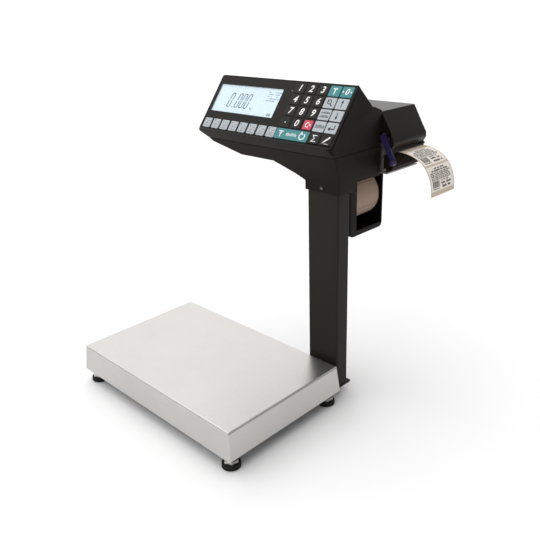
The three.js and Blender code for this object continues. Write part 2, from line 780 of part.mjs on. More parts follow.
function makeHood() {
  const outside = prism("Y", hoodSection, printerFront, printerBack);
  const deeper = hoodSection.map(([x, z], i) => [x, i < 2 ? z - OVERCUT : z]);
  const inside = prism("Y", inset(deeper, hoodWall), printerFront + hoodWall, printerBack - hoodWall);
  const noseX = noseTip - hoodWall - noseFoot;
  const mouth = block(caseRight - OVERCUT, noseX, printerFront + hoodWall, printerBack - hoodWall,
    hoodBottom - OVERCUT, noseBottom + hoodWall + hoodSideRoom);
  const notch = block(motorX - 2 * motorRadius, noseX - notchFromNose, printerFront - OVERCUT,
    printerFront + hoodWall + GAP, hoodBottom - OVERCUT,
    collarBottom + leverPivotRise + leverHub + hoodSideRoom);
  const knuckles = [
    barY(hingeX, hingeZ, hingeRadius, hingeStart, hingeStart + hingeKnuckle),
    barY(hingeX, hingeZ, hingeRadius, hingeEnd - hingeKnuckle, hingeEnd),
  ];
  const pinHole = barY(hingeX, hingeZ, hingePinRadius + GAP, hingeStart - OVERCUT, hingeEnd + OVERCUT);
  return outside.subtract(join(inside, mouth, notch)).add(join(...knuckles)).subtract(pinHole);
}

addNode("printer_hood", makeHood(), "blackPlastic");

const chassisBottom = collarBottom + chassisRise;
const chassisTop = chassisBottom + chassisPlate;
const nearWall = printerFront + hoodWall + chassisSideRoom;
const farWall = labelBack + 2 * GAP;
const chassisRight = caseRight + chassisReach;
const headPivotX = platenX - headPivotSetback;
const headPivotZ = collarBottom + headPivotRise;
const leverX = caseRight + leverPivotReach;
const leverZ = collarBottom + leverPivotRise;
const trayBack = platenX + platenRadius + trayGap;
const trayTop = platenZ + platenRadius - trayDrop;
const gearFront = nearWall + chassisSheet + gearRoom;
const gearBack = gearFront + gearWidth;

// The strip's straight run is the line that touches the roll and the platen on their upper side.
const webRollRadius = rollRadius + GAP + stripThickness / 2;
const webPlatenRadius = platenRadius + GAP + stripThickness / 2;
const rollZ = chassisBottom - rollHeadroom - rollRadius;
const centreLine = new THREE.Vector2(platenX - rollX, platenZ - rollZ);
const normalAngle = centreLine.angle() + Math.acos((webRollRadius - webPlatenRadius) / centreLine.length());
const webAngle = normalAngle - Math.PI / 2;
const rollTangent = {
  x: rollX + webRollRadius * Math.cos(normalAngle),
  z: rollZ + webRollRadius * Math.sin(normalAngle),
};

// Chassis: a plate with a slot for the labels, two side walls and the middle hinge knuckle.
function makeChassis() {
  const plateFront = nearWall - chassisEdge;
  const plateBack = farWall + chassisSheet;
  const base = block(boxLeft + GAP, chassisRight, plateFront, plateBack, chassisBottom, chassisTop);
  const slotX = rollTangent.x + (chassisTop - rollTangent.z) / Math.tan(webAngle);
  const slot = block(slotX - feedSlotHalf, slotX + feedSlotHalf, labelFront - feedSlotRoom,
    labelBack + platenLip, chassisBottom - OVERCUT, chassisTop + OVERCUT);
  const wallTop = chassisTop + chassisWallHeight;
  const wallOutline = [
    [chassisRight - chassisWallLength, chassisBottom],
    [trayBack - GAP, chassisBottom],
    [trayBack - GAP, trayTop + GAP],
    [chassisRight, trayTop + GAP],
    [chassisRight, wallTop - wallCorner[1]],
    [chassisRight - wallCorner[0], wallTop],
    [chassisRight - chassisWallLength, wallTop],
  ];
  const walls = [nearWall, farWall].map((y) => prism("Y", wallOutline, y, y + chassisSheet));
  const boreFront = nearWall - chassisSheet;
  const boreBack = nearWall + 2 * chassisSheet;
  const bores = join(
    barY(platenX, platenZ, journalRadius + GAP, boreFront, plateBack + chassisSheet),
    barY(headPivotX, headPivotZ, journalRadius + GAP, boreFront, plateBack + chassisSheet),
    barY(leverX, leverZ, journalRadius + GAP, boreFront, boreBack),
    barY(motorX, platenZ, motorShaftRadius + 2 * GAP, boreFront, boreBack),
  );
  const knuckleFront = hingeStart + hingeKnuckle + 2 * GAP;
  const knuckleBack = hingeEnd - hingeKnuckle - 2 * GAP;
  const knuckle = barY(hingeX, hingeZ, hingeRadius - middleKnuckleStep, knuckleFront, knuckleBack);
  const pin = barY(hingeX, hingeZ, hingePinRadius, hingeStart, hingeEnd);
  const tab = block(hingeX - hingeTab[0], boxLeft + hingeTab[1], knuckleFront, knuckleBack,
    chassisBottom, hoodBottom - GAP);
  return base.subtract(slot).add(join(...walls)).subtract(bores).add(join(knuckle, pin, tab));
}

addNode("printer_chassis", makeChassis(), "zincSteel");

// Gear outline as x, z pairs about its centre. The first tooth points along the start angle.
function gearOutline(x, z, teeth, startAngle) {
  const pitchRadius = (gearModule * teeth) / 2;
  const tip = pitchRadius + toothAddendum * gearModule;
  const root = pitchRadius - toothDedendum * gearModule;
  const outline = [];
  for (let tooth = 0; tooth < teeth; tooth += 1) {
    const corners = [
      [-toothRootShare, root], [-toothTipShare, tip], [toothTipShare, tip], [toothRootShare, root],
    ];
    for (const [share, radius] of corners) {
      const angle = startAngle + ((tooth + share) * 2 * Math.PI) / teeth;
      outline.push([x + radius * Math.cos(angle), z + radius * Math.sin(angle)]);
    }
  }
  return outline;
}

function makePlaten() {
  return join(
    barY(platenX, platenZ, platenRadius, labelFront - platenLip, labelBack + GAP, ROUND),
    barY(platenX, platenZ, journalRadius, nearWall, farWall + chassisSheet),
    prism("Y", gearOutline(platenX, platenZ, platenTeeth, Math.PI), gearFront, gearBack),
  );
}

addNode("platen_roller", makePlaten(), "rubber");

const motorBack = nearWall - GAP;
const motorFront = motorBack - motorLength;
const shaftFront = motorFront + motorLength / 2;

function makePinion() {
  const halfTooth = Math.PI / pinionTeeth;
  return join(
    barY(motorX, platenZ, motorShaftRadius, shaftFront, gearBack),
    prism("Y", gearOutline(motorX, platenZ, pinionTeeth, halfTooth), gearFront, gearBack),
  );
}

addNode("motor_pinion", makePinion(), "zincSteel");

function makeMotor() {
  const can = barY(motorX, platenZ, motorRadius, motorFront, motorBack, ROUND);
  const bore = barY(motorX, platenZ, motorShaftRadius + GAP, shaftFront - GAP, motorBack + OVERCUT);
  return can.subtract(bore);
}

addNode("stepper_motor", makeMotor(), "zincSteel");

// Print head: a heater block over the platen, carried by an arm on a pivot rod.
function makeHead() {
  const bottom = stripTop + GAP;
  const front = platenX - headLength / 2;
  const back = platenX + headLength / 2;
  const pivot = barY(headPivotX, headPivotZ, journalRadius, nearWall, farWall + chassisSheet);
  const arm = [
    [front, bottom],
    [back, bottom],
    [back, bottom + headHeight - headNose],
    [back - headNoseRun, bottom + headHeight],
    [headPivotX + headArm[0], headPivotZ + headArm[1]],
    [headPivotX - headArm[0], headPivotZ],
    [front, bottom + headHeight / 2],
  ];
  return prism("Y", arm, labelFront - platenLip, labelBack - GAP).add(pivot);
}

addNode("print_head", makeHead(), "aluminium");

// Head lever: an arm in front of the hood, with a knob at its tip and a shaft into the chassis.
function makeLever() {
  const armBack = printerFront - 2 * GAP;
  const armFront = armBack - leverThickness;
  const along = new THREE.Vector2(Math.cos(leverAngle), Math.sin(leverAngle));
  const across = new THREE.Vector2(-along.y, along.x);
  const at = (distance, side) => [
    leverX + along.x * distance + across.x * side,
    leverZ + along.y * distance + across.y * side,
  ];
  const [tipX, tipZ] = at(leverLength, 0);
  const arm = [at(0, -leverHub), at(leverLength, -leverTip), at(leverLength, leverTip), at(0, leverHub)];
  return join(
    prism("Y", arm, armFront, armBack),
    barY(leverX, leverZ, leverHub, armFront, armBack, ROUND),
    barY(tipX, tipZ, leverTip, armBack - leverKnob, armBack),
    barY(leverX, leverZ, journalRadius, armFront, gearBack),
  );
}

addNode("head_lever", makeLever(), "violetPlastic");

// Label tray: the black lip under the labels, a bent sheet with closed ends.
function makeTray() {
  const edge = caseRight + trayReach;
  const bottom = collarBottom + trayRise;
  const outline = [
    [trayBack, bottom],
    [edge - trayFoot[0], bottom],
    [edge, bottom + trayFoot[1]],
    [edge - trayBrow[0], trayTop - trayBrow[1]],
    [edge - trayFlat, trayTop],
    [trayBack, trayTop],
  ];
  const longer = outline.map(([x, z]) => [x === trayBack ? x - OVERCUT : x, z]);
  const hollow = inset(longer, traySheet);
  const outside = prism("Y", outline, printerFront, printerBack);
  return outside.subtract(prism("Y", hollow, printerFront + traySheet, printerBack - traySheet));
}

addNode("label_tray", makeTray(), "blackPlastic");

// ---------------------------------------------------------------- Label supply

const boxTop = chassisBottom - GAP;
const boxBottom = rollZ - rollRadius - rollClearance;

// Roll box: open at the top and, through a window, on the right, so that a roll can be changed.
function makeRollBox() {
  const section = [
    [printerFront, boxTop],
    [printerFront, boxBottom + boxCorner],
    [printerFront + boxCorner * boxCornerShare, boxBottom + boxCorner * boxCornerShare],
    [printerFront + boxCorner, boxBottom],
    [printerBack - boxCorner, boxBottom],
    [printerBack - boxCorner * boxCornerShare, boxBottom + boxCorner * boxCornerShare],
    [printerBack, boxBottom + boxCorner],
    [printerBack, boxTop],
  ];
  const deeper = section.map(([y, z]) => [y, z === boxTop ? z + OVERCUT : z]);
  const outside = prism("X", section, boxLeft, boxRight);
  const inside = prism("X", inset(deeper, boxWall), boxLeft + boxWall, boxRight - boxWall);
  const window = block(boxRight - OVERCUT / 2, boxRight + OVERCUT, labelFront, printerBack - 2 * boxWall,
    boxBottom + boxSill, boxTop + OVERCUT);
  const bores = barY(rollX, rollZ, spindleJournal + GAP, printerFront - OVERCUT, printerBack + OVERCUT);
  return outside.subtract(join(inside, window, bores));
}

addNode("roll_box", makeRollBox(), "blackSteel");

const rollFront = labelFront + GAP;
const rollBack = labelBack - GAP;

function makeSpindle() {
  return join(
    barY(rollX, rollZ, coreRadius - GAP, rollFront + spindleInset, rollBack - spindleInset, ROUND),
    barY(rollX, rollZ, spindleJournal, printerFront, printerBack),
  );
}

addNode("roll_spindle", makeSpindle(), "blackPlastic");

const roll = barY(rollX, rollZ, rollRadius, rollFront, rollBack, rollSides)
  .subtract(barY(rollX, rollZ, coreRadius, rollFront - OVERCUT, rollBack + OVERCUT, ROUND));
addNode("label_roll", roll, "paper");

// Label strip: straight from the roll, round the top of the platen, level out of the printer and
// then down in one free curve.
function stripPath() {
  const path = [new THREE.Vector2(rollTangent.x, rollTangent.z)];
  for (let i = 0; i <= webSteps; i += 1) {
    const angle = normalAngle + ((Math.PI / 2 - normalAngle) * i) / webSteps;
    path.push(new THREE.Vector2(
      platenX + webPlatenRadius * Math.cos(angle),
      platenZ + webPlatenRadius * Math.sin(angle),
    ));
  }
  const start = new THREE.Vector2(platenX + stripStraight, stripMiddle);
  const end = start.clone().add(new THREE.Vector2(stripReach, -stripDrop));
  const curve = new THREE.CubicBezierCurve(
    start,
    start.clone().add(new THREE.Vector2(stripBend, 0)),
    end.clone().add(new THREE.Vector2(0, stripBend)),
    end,
  );
  return path.concat(curve.getSpacedPoints(stripSteps));
}

function makeStrip() {
  const path = stripPath();
  const sides = [1, -1].map((side) => path.map((point, i) => {
    const before = path[Math.max(i - 1, 0)];
    const after = path[Math.min(i + 1, path.length - 1)];
    const along = after.clone().sub(before).normalize();
    const out = new THREE.Vector2(-along.y, along.x).multiplyScalar((side * stripThickness) / 2);
    return point.clone().add(out).toArray();
  }));
  const outline = sides[1].concat(sides[0].reverse());
  return prism("Y", outline, labelFront, labelBack);
}

addNode("label_strip", makeStrip(), "paper");

// ---------------------------------------------------------------- Origin

object.updateMatrixWorld(true);
const extent = new THREE.Box3().setFromObject(object, true);
object.position.set(-(extent.min.x + extent.max.x) / 2, -(extent.min.y + extent.max.y) / 2, -extent.min.z);

export default object;
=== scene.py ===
import json
import math
import random

import bmesh
import bpy
from mathutils import Matrix, Vector

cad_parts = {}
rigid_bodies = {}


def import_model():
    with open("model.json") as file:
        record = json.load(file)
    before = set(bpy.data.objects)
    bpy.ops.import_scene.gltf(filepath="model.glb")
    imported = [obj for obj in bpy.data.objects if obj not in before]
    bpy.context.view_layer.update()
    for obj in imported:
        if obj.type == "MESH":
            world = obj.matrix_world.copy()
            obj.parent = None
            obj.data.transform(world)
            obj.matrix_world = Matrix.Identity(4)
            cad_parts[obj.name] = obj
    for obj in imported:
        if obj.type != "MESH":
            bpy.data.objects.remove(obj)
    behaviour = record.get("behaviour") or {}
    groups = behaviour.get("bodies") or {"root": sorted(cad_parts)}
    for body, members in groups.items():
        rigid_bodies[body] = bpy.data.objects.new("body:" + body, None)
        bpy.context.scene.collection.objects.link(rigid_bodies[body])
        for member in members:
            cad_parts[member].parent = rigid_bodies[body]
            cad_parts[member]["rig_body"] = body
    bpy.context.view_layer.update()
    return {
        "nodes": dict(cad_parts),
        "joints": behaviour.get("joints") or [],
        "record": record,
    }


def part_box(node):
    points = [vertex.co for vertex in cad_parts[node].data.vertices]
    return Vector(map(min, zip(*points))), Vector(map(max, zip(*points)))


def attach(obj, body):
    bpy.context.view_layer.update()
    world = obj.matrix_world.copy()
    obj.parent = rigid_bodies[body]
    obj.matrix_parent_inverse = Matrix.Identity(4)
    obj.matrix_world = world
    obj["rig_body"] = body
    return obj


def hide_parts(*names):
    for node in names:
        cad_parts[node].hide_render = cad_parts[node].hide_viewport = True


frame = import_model()

# ---- Levelling feet
# Each foot is a moulded rubber pad pressed on to a zinc-plated hexagon nut, on a threaded steel
# stem that screws up into a hole in the base frame.
mm = 0.001
sharp_angle = 35  # degrees, above which an edge is shaded as a crease


def paint(red, green, blue):
    """A colour given as eight-bit screen values, as the linear colour that a shader takes."""
    def linear(level):
        share = level / 255
        return share / 12.92 if share <= 0.04045 else ((share + 0.055) / 1.055) ** 2.4
    return (linear(red), linear(green), linear(blue), 1.0)


def add_socket(tree, name, kind, value=None, out=False):
    side = "OUTPUT" if out else "INPUT"
    item = tree.interface.new_socket(name=name, in_out=side, socket_type="NodeSocket" + kind)
    if value is not None:
        item.default_value = value
    return item


def math_node(tree, operation, *inputs):
    node = tree.nodes.new("ShaderNodeMath")
    node.operation = operation
    for index, value in enumerate(inputs):
        if isinstance(value, (int, float)):
            node.inputs[index].default_value = value
        else:
            tree.links.new(value, node.inputs[index])
    return node.outputs[0]


def surface_group(name, stretch):
    """Uneven colour, roughness and height in object space, with a grain drawn out by stretch."""
    tree = bpy.data.node_groups.new(name, "ShaderNodeTree")
    add_socket(tree, "Colour", "Color", (0.5, 0.5, 0.5, 1))
    for label, value in (("Unevenness", 0.1), ("Streak", 0.05), ("Roughness", 0.5), ("Spread", 0.1),
                         ("Patch Size", 0.04), ("Grain Size", 0.001)):
        add_socket(tree, label, "Float", value)
    add_socket(tree, "Colour", "Color", out=True)
    add_socket(tree, "Roughness", "Float", out=True)
    add_socket(tree, "Height", "Float", out=True)
    given = tree.nodes.new("NodeGroupInput").outputs
    result = tree.nodes.new("NodeGroupOutput").inputs
    place = tree.nodes.new("ShaderNodeTexCoord").outputs["Object"]
    drawn = tree.nodes.new("ShaderNodeMapping")
    drawn.inputs["Scale"].default_value = stretch
    tree.links.new(place, drawn.inputs["Vector"])
    noises = []
    for vector, size, detail in ((place, "Patch Size", 3), (drawn.outputs[0], "Grain Size", 2)):
        noise = tree.nodes.new("ShaderNodeTexNoise")
        noise.inputs["Detail"].default_value = detail
        tree.links.new(vector, noise.inputs["Vector"])
        tree.links.new(math_node(tree, "DIVIDE", 1.0, given[size]), noise.inputs["Scale"])
        noises.append(noise.outputs["Fac"])
    patches, grain = (math_node(tree, "SUBTRACT", noise, 0.5) for noise in noises)
    shade = math_node(tree, "MULTIPLY_ADD", patches, given["Unevenness"], 1.0)
    shade = math_node(tree, "MULTIPLY_ADD", grain, given["Streak"], shade)
    tint = tree.nodes.new("ShaderNodeVectorMath")
    tint.operation = "SCALE"
    tree.links.new(given["Colour"], tint.inputs[0])
    tree.links.new(shade, tint.inputs["Scale"])
    tree.links.new(tint.outputs[0], result["Colour"])
    rough = math_node(tree, "MULTIPLY_ADD", patches, given["Spread"], given["Roughness"])
    tree.links.new(rough, result["Roughness"])
    tree.links.new(noises[1], result["Height"])
    return tree


moulded = surface_group("moulded_grain", (1, 1, 1))
brushed = surface_group("brushed_grain", (0.03, 1, 1))


def finish(name, colour, roughness, group=moulded, grain=0.0009, patch=0.04, uneven=0.25,
           streak=0.15, spread=0.12, bump=0.12, metallic=0.0, specular=0.5, **sockets):
    """A material whose colour, roughness and relief come from one of the surface groups."""
    material = bpy.data.materials.new(name)
    material.use_nodes = True
    tree = material.node_tree
    shader = tree.nodes["Principled BSDF"]
    surface = tree.nodes.new("ShaderNodeGroup")
    surface.node_tree = group
    values = {"Colour": colour, "Unevenness": uneven, "Streak": streak, "Roughness": roughness,
              "Spread": spread, "Patch Size": patch, "Grain Size": grain}
    for label, value in values.items():
        surface.inputs[label].default_value = value
    relief = tree.nodes.new("ShaderNodeBump")
    relief.inputs["Strength"].default_value = bump
    relief.inputs["Distance"].default_value = 0.2 * mm
    tree.links.new(surface.outputs["Height"], relief.inputs["Height"])
    tree.links.new(relief.outputs["Normal"], shader.inputs["Normal"])
    tree.links.new(surface.outputs["Colour"], shader.inputs["Base Color"])
    tree.links.new(surface.outputs["Roughness"], shader.inputs["Roughness"])
    shader.inputs["Metallic"].default_value = metallic
    shader.inputs["Specular IOR Level"].default_value = specular
    for label, value in sockets.items():
        shader.inputs[label.replace("_", " ")].default_value = value
    return material


rubber = finish("foot_rubber", paint(30, 29, 28), 0.75, specular=0.25)
zinc = finish("zinc_plate", paint(196, 194, 190), 0.34, brushed, grain=0.0006, metallic=1.0)
chrome = finish("bright_stem", paint(214, 212, 208), 0.22, brushed, grain=0.0005, metallic=1.0)


def stitch(bm, loops, slot=0):
    """Makes the faces between each ring of vertices and the next."""
    count = len(loops[0])
    for low, high in zip(loops, loops[1:]):
        for i in range(count):
            after = (i + 1) % count
            bm.faces.new((low[i], low[after], high[after], high[i])).material_index = slot


def closed_rings(bm, rings, slot=0):
    """Joins rings of equal count, first to last, and closes both ends with one face each."""
    loops = [[bm.verts.new(point) for point in ring] for ring in rings]
    stitch(bm, loops, slot)
    for end in (loops[0][::-1], loops[-1]):
        bm.faces.new(end).material_index = slot


def circle(x, y, z, radius, sides=48, turn=0.0):
    angles = [turn + 2 * math.pi * i / sides for i in range(sides)]
    return [(x + radius * math.cos(a), y + radius * math.sin(a), z) for a in angles]


def turned(bm, x, y, profile, slot=0, sides=48, turn=0.0):
    """A solid turned about Z through x, y. The profile is (radius, height) from bottom to top."""
    closed_rings(bm, [circle(x, y, z, radius, sides, turn) for radius, z in profile], slot)


def make_piece(name, bm, materials, body, replaced=(), sharp=sharp_angle):
    """Turns a bmesh into a named piece that rides on a body."""
    mesh = bpy.data.meshes.new(name)
    bm.to_mesh(mesh)
    bm.free()
    for material in materials:
        mesh.materials.append(material)
    mesh.polygons.foreach_set("use_smooth", [True] * len(mesh.polygons))
    mesh.set_sharp_from_angle(angle=math.radians(sharp))
    piece = bpy.data.objects.new(name, mesh)
    bpy.context.scene.collection.objects.link(piece)
    even = piece.modifiers.new("even_normals", "WEIGHTED_NORMAL")
    even.keep_sharp = True
    bake_modifiers(piece)
    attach(piece, body)
    if replaced:
        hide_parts(*replaced)
    return piece


def bake_modifiers(piece):
    """Makes the result of a piece's modifiers its own plain mesh."""
    bpy.context.view_layer.update()
    depsgraph = bpy.context.evaluated_depsgraph_get()
    mesh = bpy.data.meshes.new_from_object(piece.evaluated_get(depsgraph), depsgraph=depsgraph)
    piece.modifiers.clear()
    piece.data = mesh


def open_tree(name, *inputs):
    """A Geometry Nodes tree with inputs of its own, each a label, a kind and a value."""
    tree = bpy.data.node_groups.new(name, "GeometryNodeTree")
    add_socket(tree, "Geometry", "Geometry")
    for label, kind, value in inputs:
        add_socket(tree, label, kind, value)
    add_socket(tree, "Finish", "Material")
    add_socket(tree, "Geometry", "Geometry", out=True)
    return tree, tree.nodes.new("NodeGroupInput").outputs


def thread_tree(name):
    """A raised spiral round an upright stem, with its foot at the centre."""
    tree, given = open_tree(name, ("Radius", "Float", 0.004), ("Pitch", "Float", 0.001),
                            ("Height", "Float", 0.02), ("Depth", "Float", 0.0003))
    spiral = tree.nodes.new("GeometryNodeCurveSpiral")
    spiral.inputs["Resolution"].default_value = 24
    tree.links.new(math_node(tree, "DIVIDE", given["Height"], given["Pitch"]),
                   spiral.inputs["Rotations"])
    for end in ("Start Radius", "End Radius"):
        tree.links.new(given["Radius"], spiral.inputs[end])
    tree.links.new(given["Height"], spiral.inputs["Height"])
    ridge = tree.nodes.new("GeometryNodeCurvePrimitiveCircle")
    ridge.inputs["Resolution"].default_value = 4
    tree.links.new(given["Depth"], ridge.inputs["Radius"])
    swept = tree.nodes.new("GeometryNodeCurveToMesh")
    swept.inputs["Fill Caps"].default_value = True
    tree.links.new(spiral.outputs[0], swept.inputs["Curve"])
    tree.links.new(ridge.outputs[0], swept.inputs["Profile Curve"])
    close_tree(tree, swept.outputs[0], given["Finish"])
    return tree


def close_tree(tree, made, finish_socket):
    """Ends a tree: what it made is realised and painted."""
    real = tree.nodes.new("GeometryNodeRealizeInstances")
    painted = tree.nodes.new("GeometryNodeSetMaterial")
    tree.links.new(made, real.inputs[0])
    tree.links.new(real.outputs[0], painted.inputs["Geometry"])
    tree.links.new(finish_socket, painted.inputs["Material"])
    tree.links.new(painted.outputs[0], tree.nodes.new("NodeGroupOutput").inputs[0])


def grown(name, points, tree, values, material, body):
    """A piece that a Geometry Nodes tree makes from loose points, as a plain mesh."""
    mesh = bpy.data.meshes.new(name + "_seed")
    mesh.from_pydata([tuple(point) for point in points], [], [])
    piece = bpy.data.objects.new(name, mesh)
    bpy.context.scene.collection.objects.link(piece)
    modifier = piece.modifiers.new("pattern", "NODES")
    modifier.node_group = tree
    for item in tree.interface.items_tree:
        if item.in_out == "INPUT" and item.name in values:
            modifier[item.identifier] = values[item.name]
        if item.in_out == "INPUT" and item.name == "Finish":
            modifier[item.identifier] = material
    bake_modifiers(piece)
    piece.data.polygons.foreach_set("use_smooth", [True] * len(piece.data.polygons))
    piece.data.set_sharp_from_angle(angle=math.radians(sharp_angle))
    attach(piece, body)
    return piece


def moved(piece, offset):
    """Shifts a finished mesh, so that its object stays at the origin."""
    piece.data.transform(Matrix.Translation(offset))
    return piece


stem_thread = thread_tree("stem_thread")
nut_height = 4 * mm
nut_radius = 10.4 * mm
stem_radius = 3.7 * mm
thread_depth = 0.3 * mm
for foot in [name for name in frame["nodes"] if name.startswith("foot_")]:
    low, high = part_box(foot)
    x, y = (low.x + high.x) / 2, (low.y + high.y) / 2
    pad = (high.x - low.x) / 2
    pad_top = 7.5 * mm
    nut_top = pad_top + nut_height
    bm = bmesh.new()
    turned(bm, x, y, [
        (pad - 1.2 * mm, low.z), (pad, low.z + 1 * mm), (pad, low.z + 2.6 * mm),
        (pad - 0.9 * mm, low.z + 3 * mm),
        (pad - 0.9 * mm, low.z + 3.5 * mm), (pad - 0.2 * mm, low.z + 4 * mm),
        (pad - 0.4 * mm, pad_top - 1.4 * mm),
        (pad - 1.6 * mm, pad_top - 0.3 * mm), (pad - 2.4 * mm, pad_top)])
    turned(bm, x, y, [
        (nut_radius - 0.8 * mm, pad_top - 0.6 * mm), (nut_radius, pad_top + 0.1 * mm),
        (nut_radius, nut_top - 0.7 * mm), (nut_radius - 0.9 * mm, nut_top)], 1, 6, 0.4)
    turned(bm, x, y, [
        (stem_radius, pad_top), (stem_radius, high.z - 0.8 * mm), (stem_radius - 0.7 * mm, high.z)],
        2, 24)
    make_piece("levelling_" + foot, bm, [rubber, zinc, chrome], foot, [foot])
    values = {"Radius": stem_radius, "Pitch": 1.25 * mm, "Height": high.z - nut_top - 1.6 * mm,
              "Depth": thread_depth}
    turns = grown("thread_" + foot, [(0, 0, 0)], stem_thread, values, chrome, foot)
    moved(turns, Vector((x, y, nut_top + 0.2 * mm)))

# ---- Base frame, load cell and carrier
# The base is a welded ring of painted bar with a beam across it. An aluminium load cell is bolted
# to the beam at one end and holds a zinc-plated carrier, on which the platter sits, at the other.
black_paint = finish("black_paint", paint(32, 28, 24), 0.55, grain=0.0012, specular=0.22, bump=0.3,
                     uneven=0.3)
cast_aluminium = finish("machined_aluminium", paint(190, 192, 196), 0.38, brushed, metallic=1.0)
carrier_steel = finish("carrier_steel", paint(176, 174, 168), 0.45, brushed, grain=0.002,
                       metallic=1.0)


def copy_of(node):
    """A CAD node's shape with its loose triangles joined."""
    bm = bmesh.new()
    bm.from_mesh(frame["nodes"][node].data)
    bmesh.ops.remove_doubles(bm, verts=bm.verts, dist=0.01 * mm)
    return bm


def round_edges(bm, width, wanted=None, segments=3, least=2.4):
    """Rounds the outer edges that are long enough for it, or those that wanted accepts."""
    edges = []
    for edge in bm.edges:
        if len(edge.link_faces) != 2 or edge.calc_face_angle_signed(0) < math.radians(28):
            continue
        if edge.calc_length() > least * width and (wanted is None or wanted(edge)):
            edges.append(edge)
    bmesh.ops.bevel(bm, geom=edges, offset=width, offset_type="OFFSET", segments=segments,
                    profile=0.5, affect="EDGES", clamp_overlap=False)


def softened(name, node, width, material, least=2.4):
    """A CAD node with its outer edges rounded, which stands for that node."""
    bm = copy_of(node)
    round_edges(bm, width, None, 3, least)
    body = frame["nodes"][node]["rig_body"]
    return make_piece(name, bm, [material], body, [node])


softened("base_ring", "base_frame", 0.8 * mm, black_paint)
softened("load_cell_bar", "load_cell", 0.5 * mm, cast_aluminium)
softened("carrier_rails", "platter_frame", 0.5 * mm, carrier_steel)


def copy_to_points(tree, given, shape, turn):
    """Ends a tree with a copy of a shape, turned, at each point of the mesh that came in."""
    points = tree.nodes.new("GeometryNodeMeshToPoints")
    tree.links.new(given["Geometry"], points.inputs["Mesh"])
    copies = tree.nodes.new("GeometryNodeInstanceOnPoints")
    tree.links.new(points.outputs[0], copies.inputs["Points"])
    tree.links.new(shape, copies.inputs["Instance"])
    tree.links.new(turn, copies.inputs["Rotation"])
    close_tree(tree, copies.outputs[0], given["Finish"])


def screw_tree(name):
    """A low round screw head with a cross recess at each point given, facing one way."""
    tree, given = open_tree(name, ("Radius", "Float", 0.003), ("Height", "Float", 0.0015),
                            ("Facing", "Vector", (0, 0, 1)))
    head = tree.nodes.new("GeometryNodeMeshCone")
    head.inputs["Vertices"].default_value = 20
    tree.links.new(math_node(tree, "MULTIPLY", given["Radius"], 0.72), head.inputs["Radius Top"])
    tree.links.new(given["Radius"], head.inputs["Radius Bottom"])
    tree.links.new(given["Height"], head.inputs["Depth"])
    cut = tree.nodes.new("GeometryNodeMeshBoolean")
    cut.operation = "DIFFERENCE"
    tree.links.new(head.outputs["Mesh"], cut.inputs["Mesh 1"])
    for long_side in (0, 1):
        size = tree.nodes.new("ShaderNodeCombineXYZ")
        for axis in range(2):
            share = 1.05 if axis == long_side else 0.24
            tree.links.new(math_node(tree, "MULTIPLY", given["Radius"], share), size.inputs[axis])
        tree.links.new(given["Height"], size.inputs[2])
        arm = tree.nodes.new("GeometryNodeMeshCube")
        tree.links.new(size.outputs[0], arm.inputs["Size"])
        lift = tree.nodes.new("ShaderNodeCombineXYZ")
        tree.links.new(math_node(tree, "MULTIPLY", given["Height"], 0.95), lift.inputs[2])
        raised = tree.nodes.new("GeometryNodeTransform")
        tree.links.new(arm.outputs["Mesh"], raised.inputs["Geometry"])
        tree.links.new(lift.outputs[0], raised.inputs["Translation"])
        tree.links.new(raised.outputs[0], cut.inputs["Mesh 2"])
    turn = tree.nodes.new("FunctionNodeAlignRotationToVector")
    turn.axis = "Z"
    tree.links.new(given["Facing"], turn.inputs["Vector"])
    copy_to_points(tree, given, cut.outputs["Mesh"], turn.outputs[0])
    return tree


screw_heads = screw_tree("screw_heads")
screw_steel = finish("screw_steel", paint(120, 118, 114), 0.35, brushed, grain=0.0004, metallic=1.0)
black_screw = finish("black_screw", paint(38, 36, 34), 0.4, brushed, grain=0.0004, metallic=0.6)


def screws(name, points, facing, radius, height, material, body):
    values = {"Radius": radius, "Height": height, "Facing": facing}
    grown(name, points, screw_heads, values, material, body)


cell_low, cell_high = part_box("load_cell")
base_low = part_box("base_frame")[0]
cell_middle = (cell_low + cell_high) / 2
cell_bolts = [(cell_low.x + reach * mm, cell_middle.y + side * 8 * mm, base_low.z)
              for reach in (8, 20) for side in (-1, 1)]
screws("load_cell_bolts", cell_bolts, (0, 0, -1), 4 * mm, 2.6 * mm, screw_steel, "frame")

# ---- Platter
# One sheet of stainless steel, folded down on four sides into a skirt that leans out a little, with
# welded and ground corners. The top is polished across its width, so it takes soft reflections.
stainless = finish("stainless_sheet", paint(196, 193, 190), 0.33, brushed, grain=0.0007, patch=0.06,
                   uneven=0.12, streak=0.16, spread=0.14, bump=0.08, metallic=1.0)
seam_shade = finish("seam_shade", paint(74, 70, 66), 0.7, grain=0.001, specular=0.2)
sheet = 1.2 * mm
fold_radius = 1.6 * mm
corner_radius = 1.4 * mm
skirt_flare = 4 * mm
hem = 0.35 * mm
platter_low, platter_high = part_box("platter")


def rounded(low_x, high_x, low_y, high_y, radius, z, steps=5):
    """A rectangle's outline with round corners, anticlockwise, at one height."""
    ring = []
    for x, y, start in ((high_x, high_y, 0), (low_x, high_y, 1), (low_x, low_y, 2),
                        (high_x, low_y, 3)):
        centre_x = x - math.copysign(radius, x - (low_x + high_x) / 2)
        centre_y = y - math.copysign(radius, y - (low_y + high_y) / 2)
        for step in range(steps + 1):
            angle = (start + step / steps) * math.pi / 2
            ring.append((centre_x + radius * math.cos(angle), centre_y + radius * math.sin(angle),
                         z))
    return ring


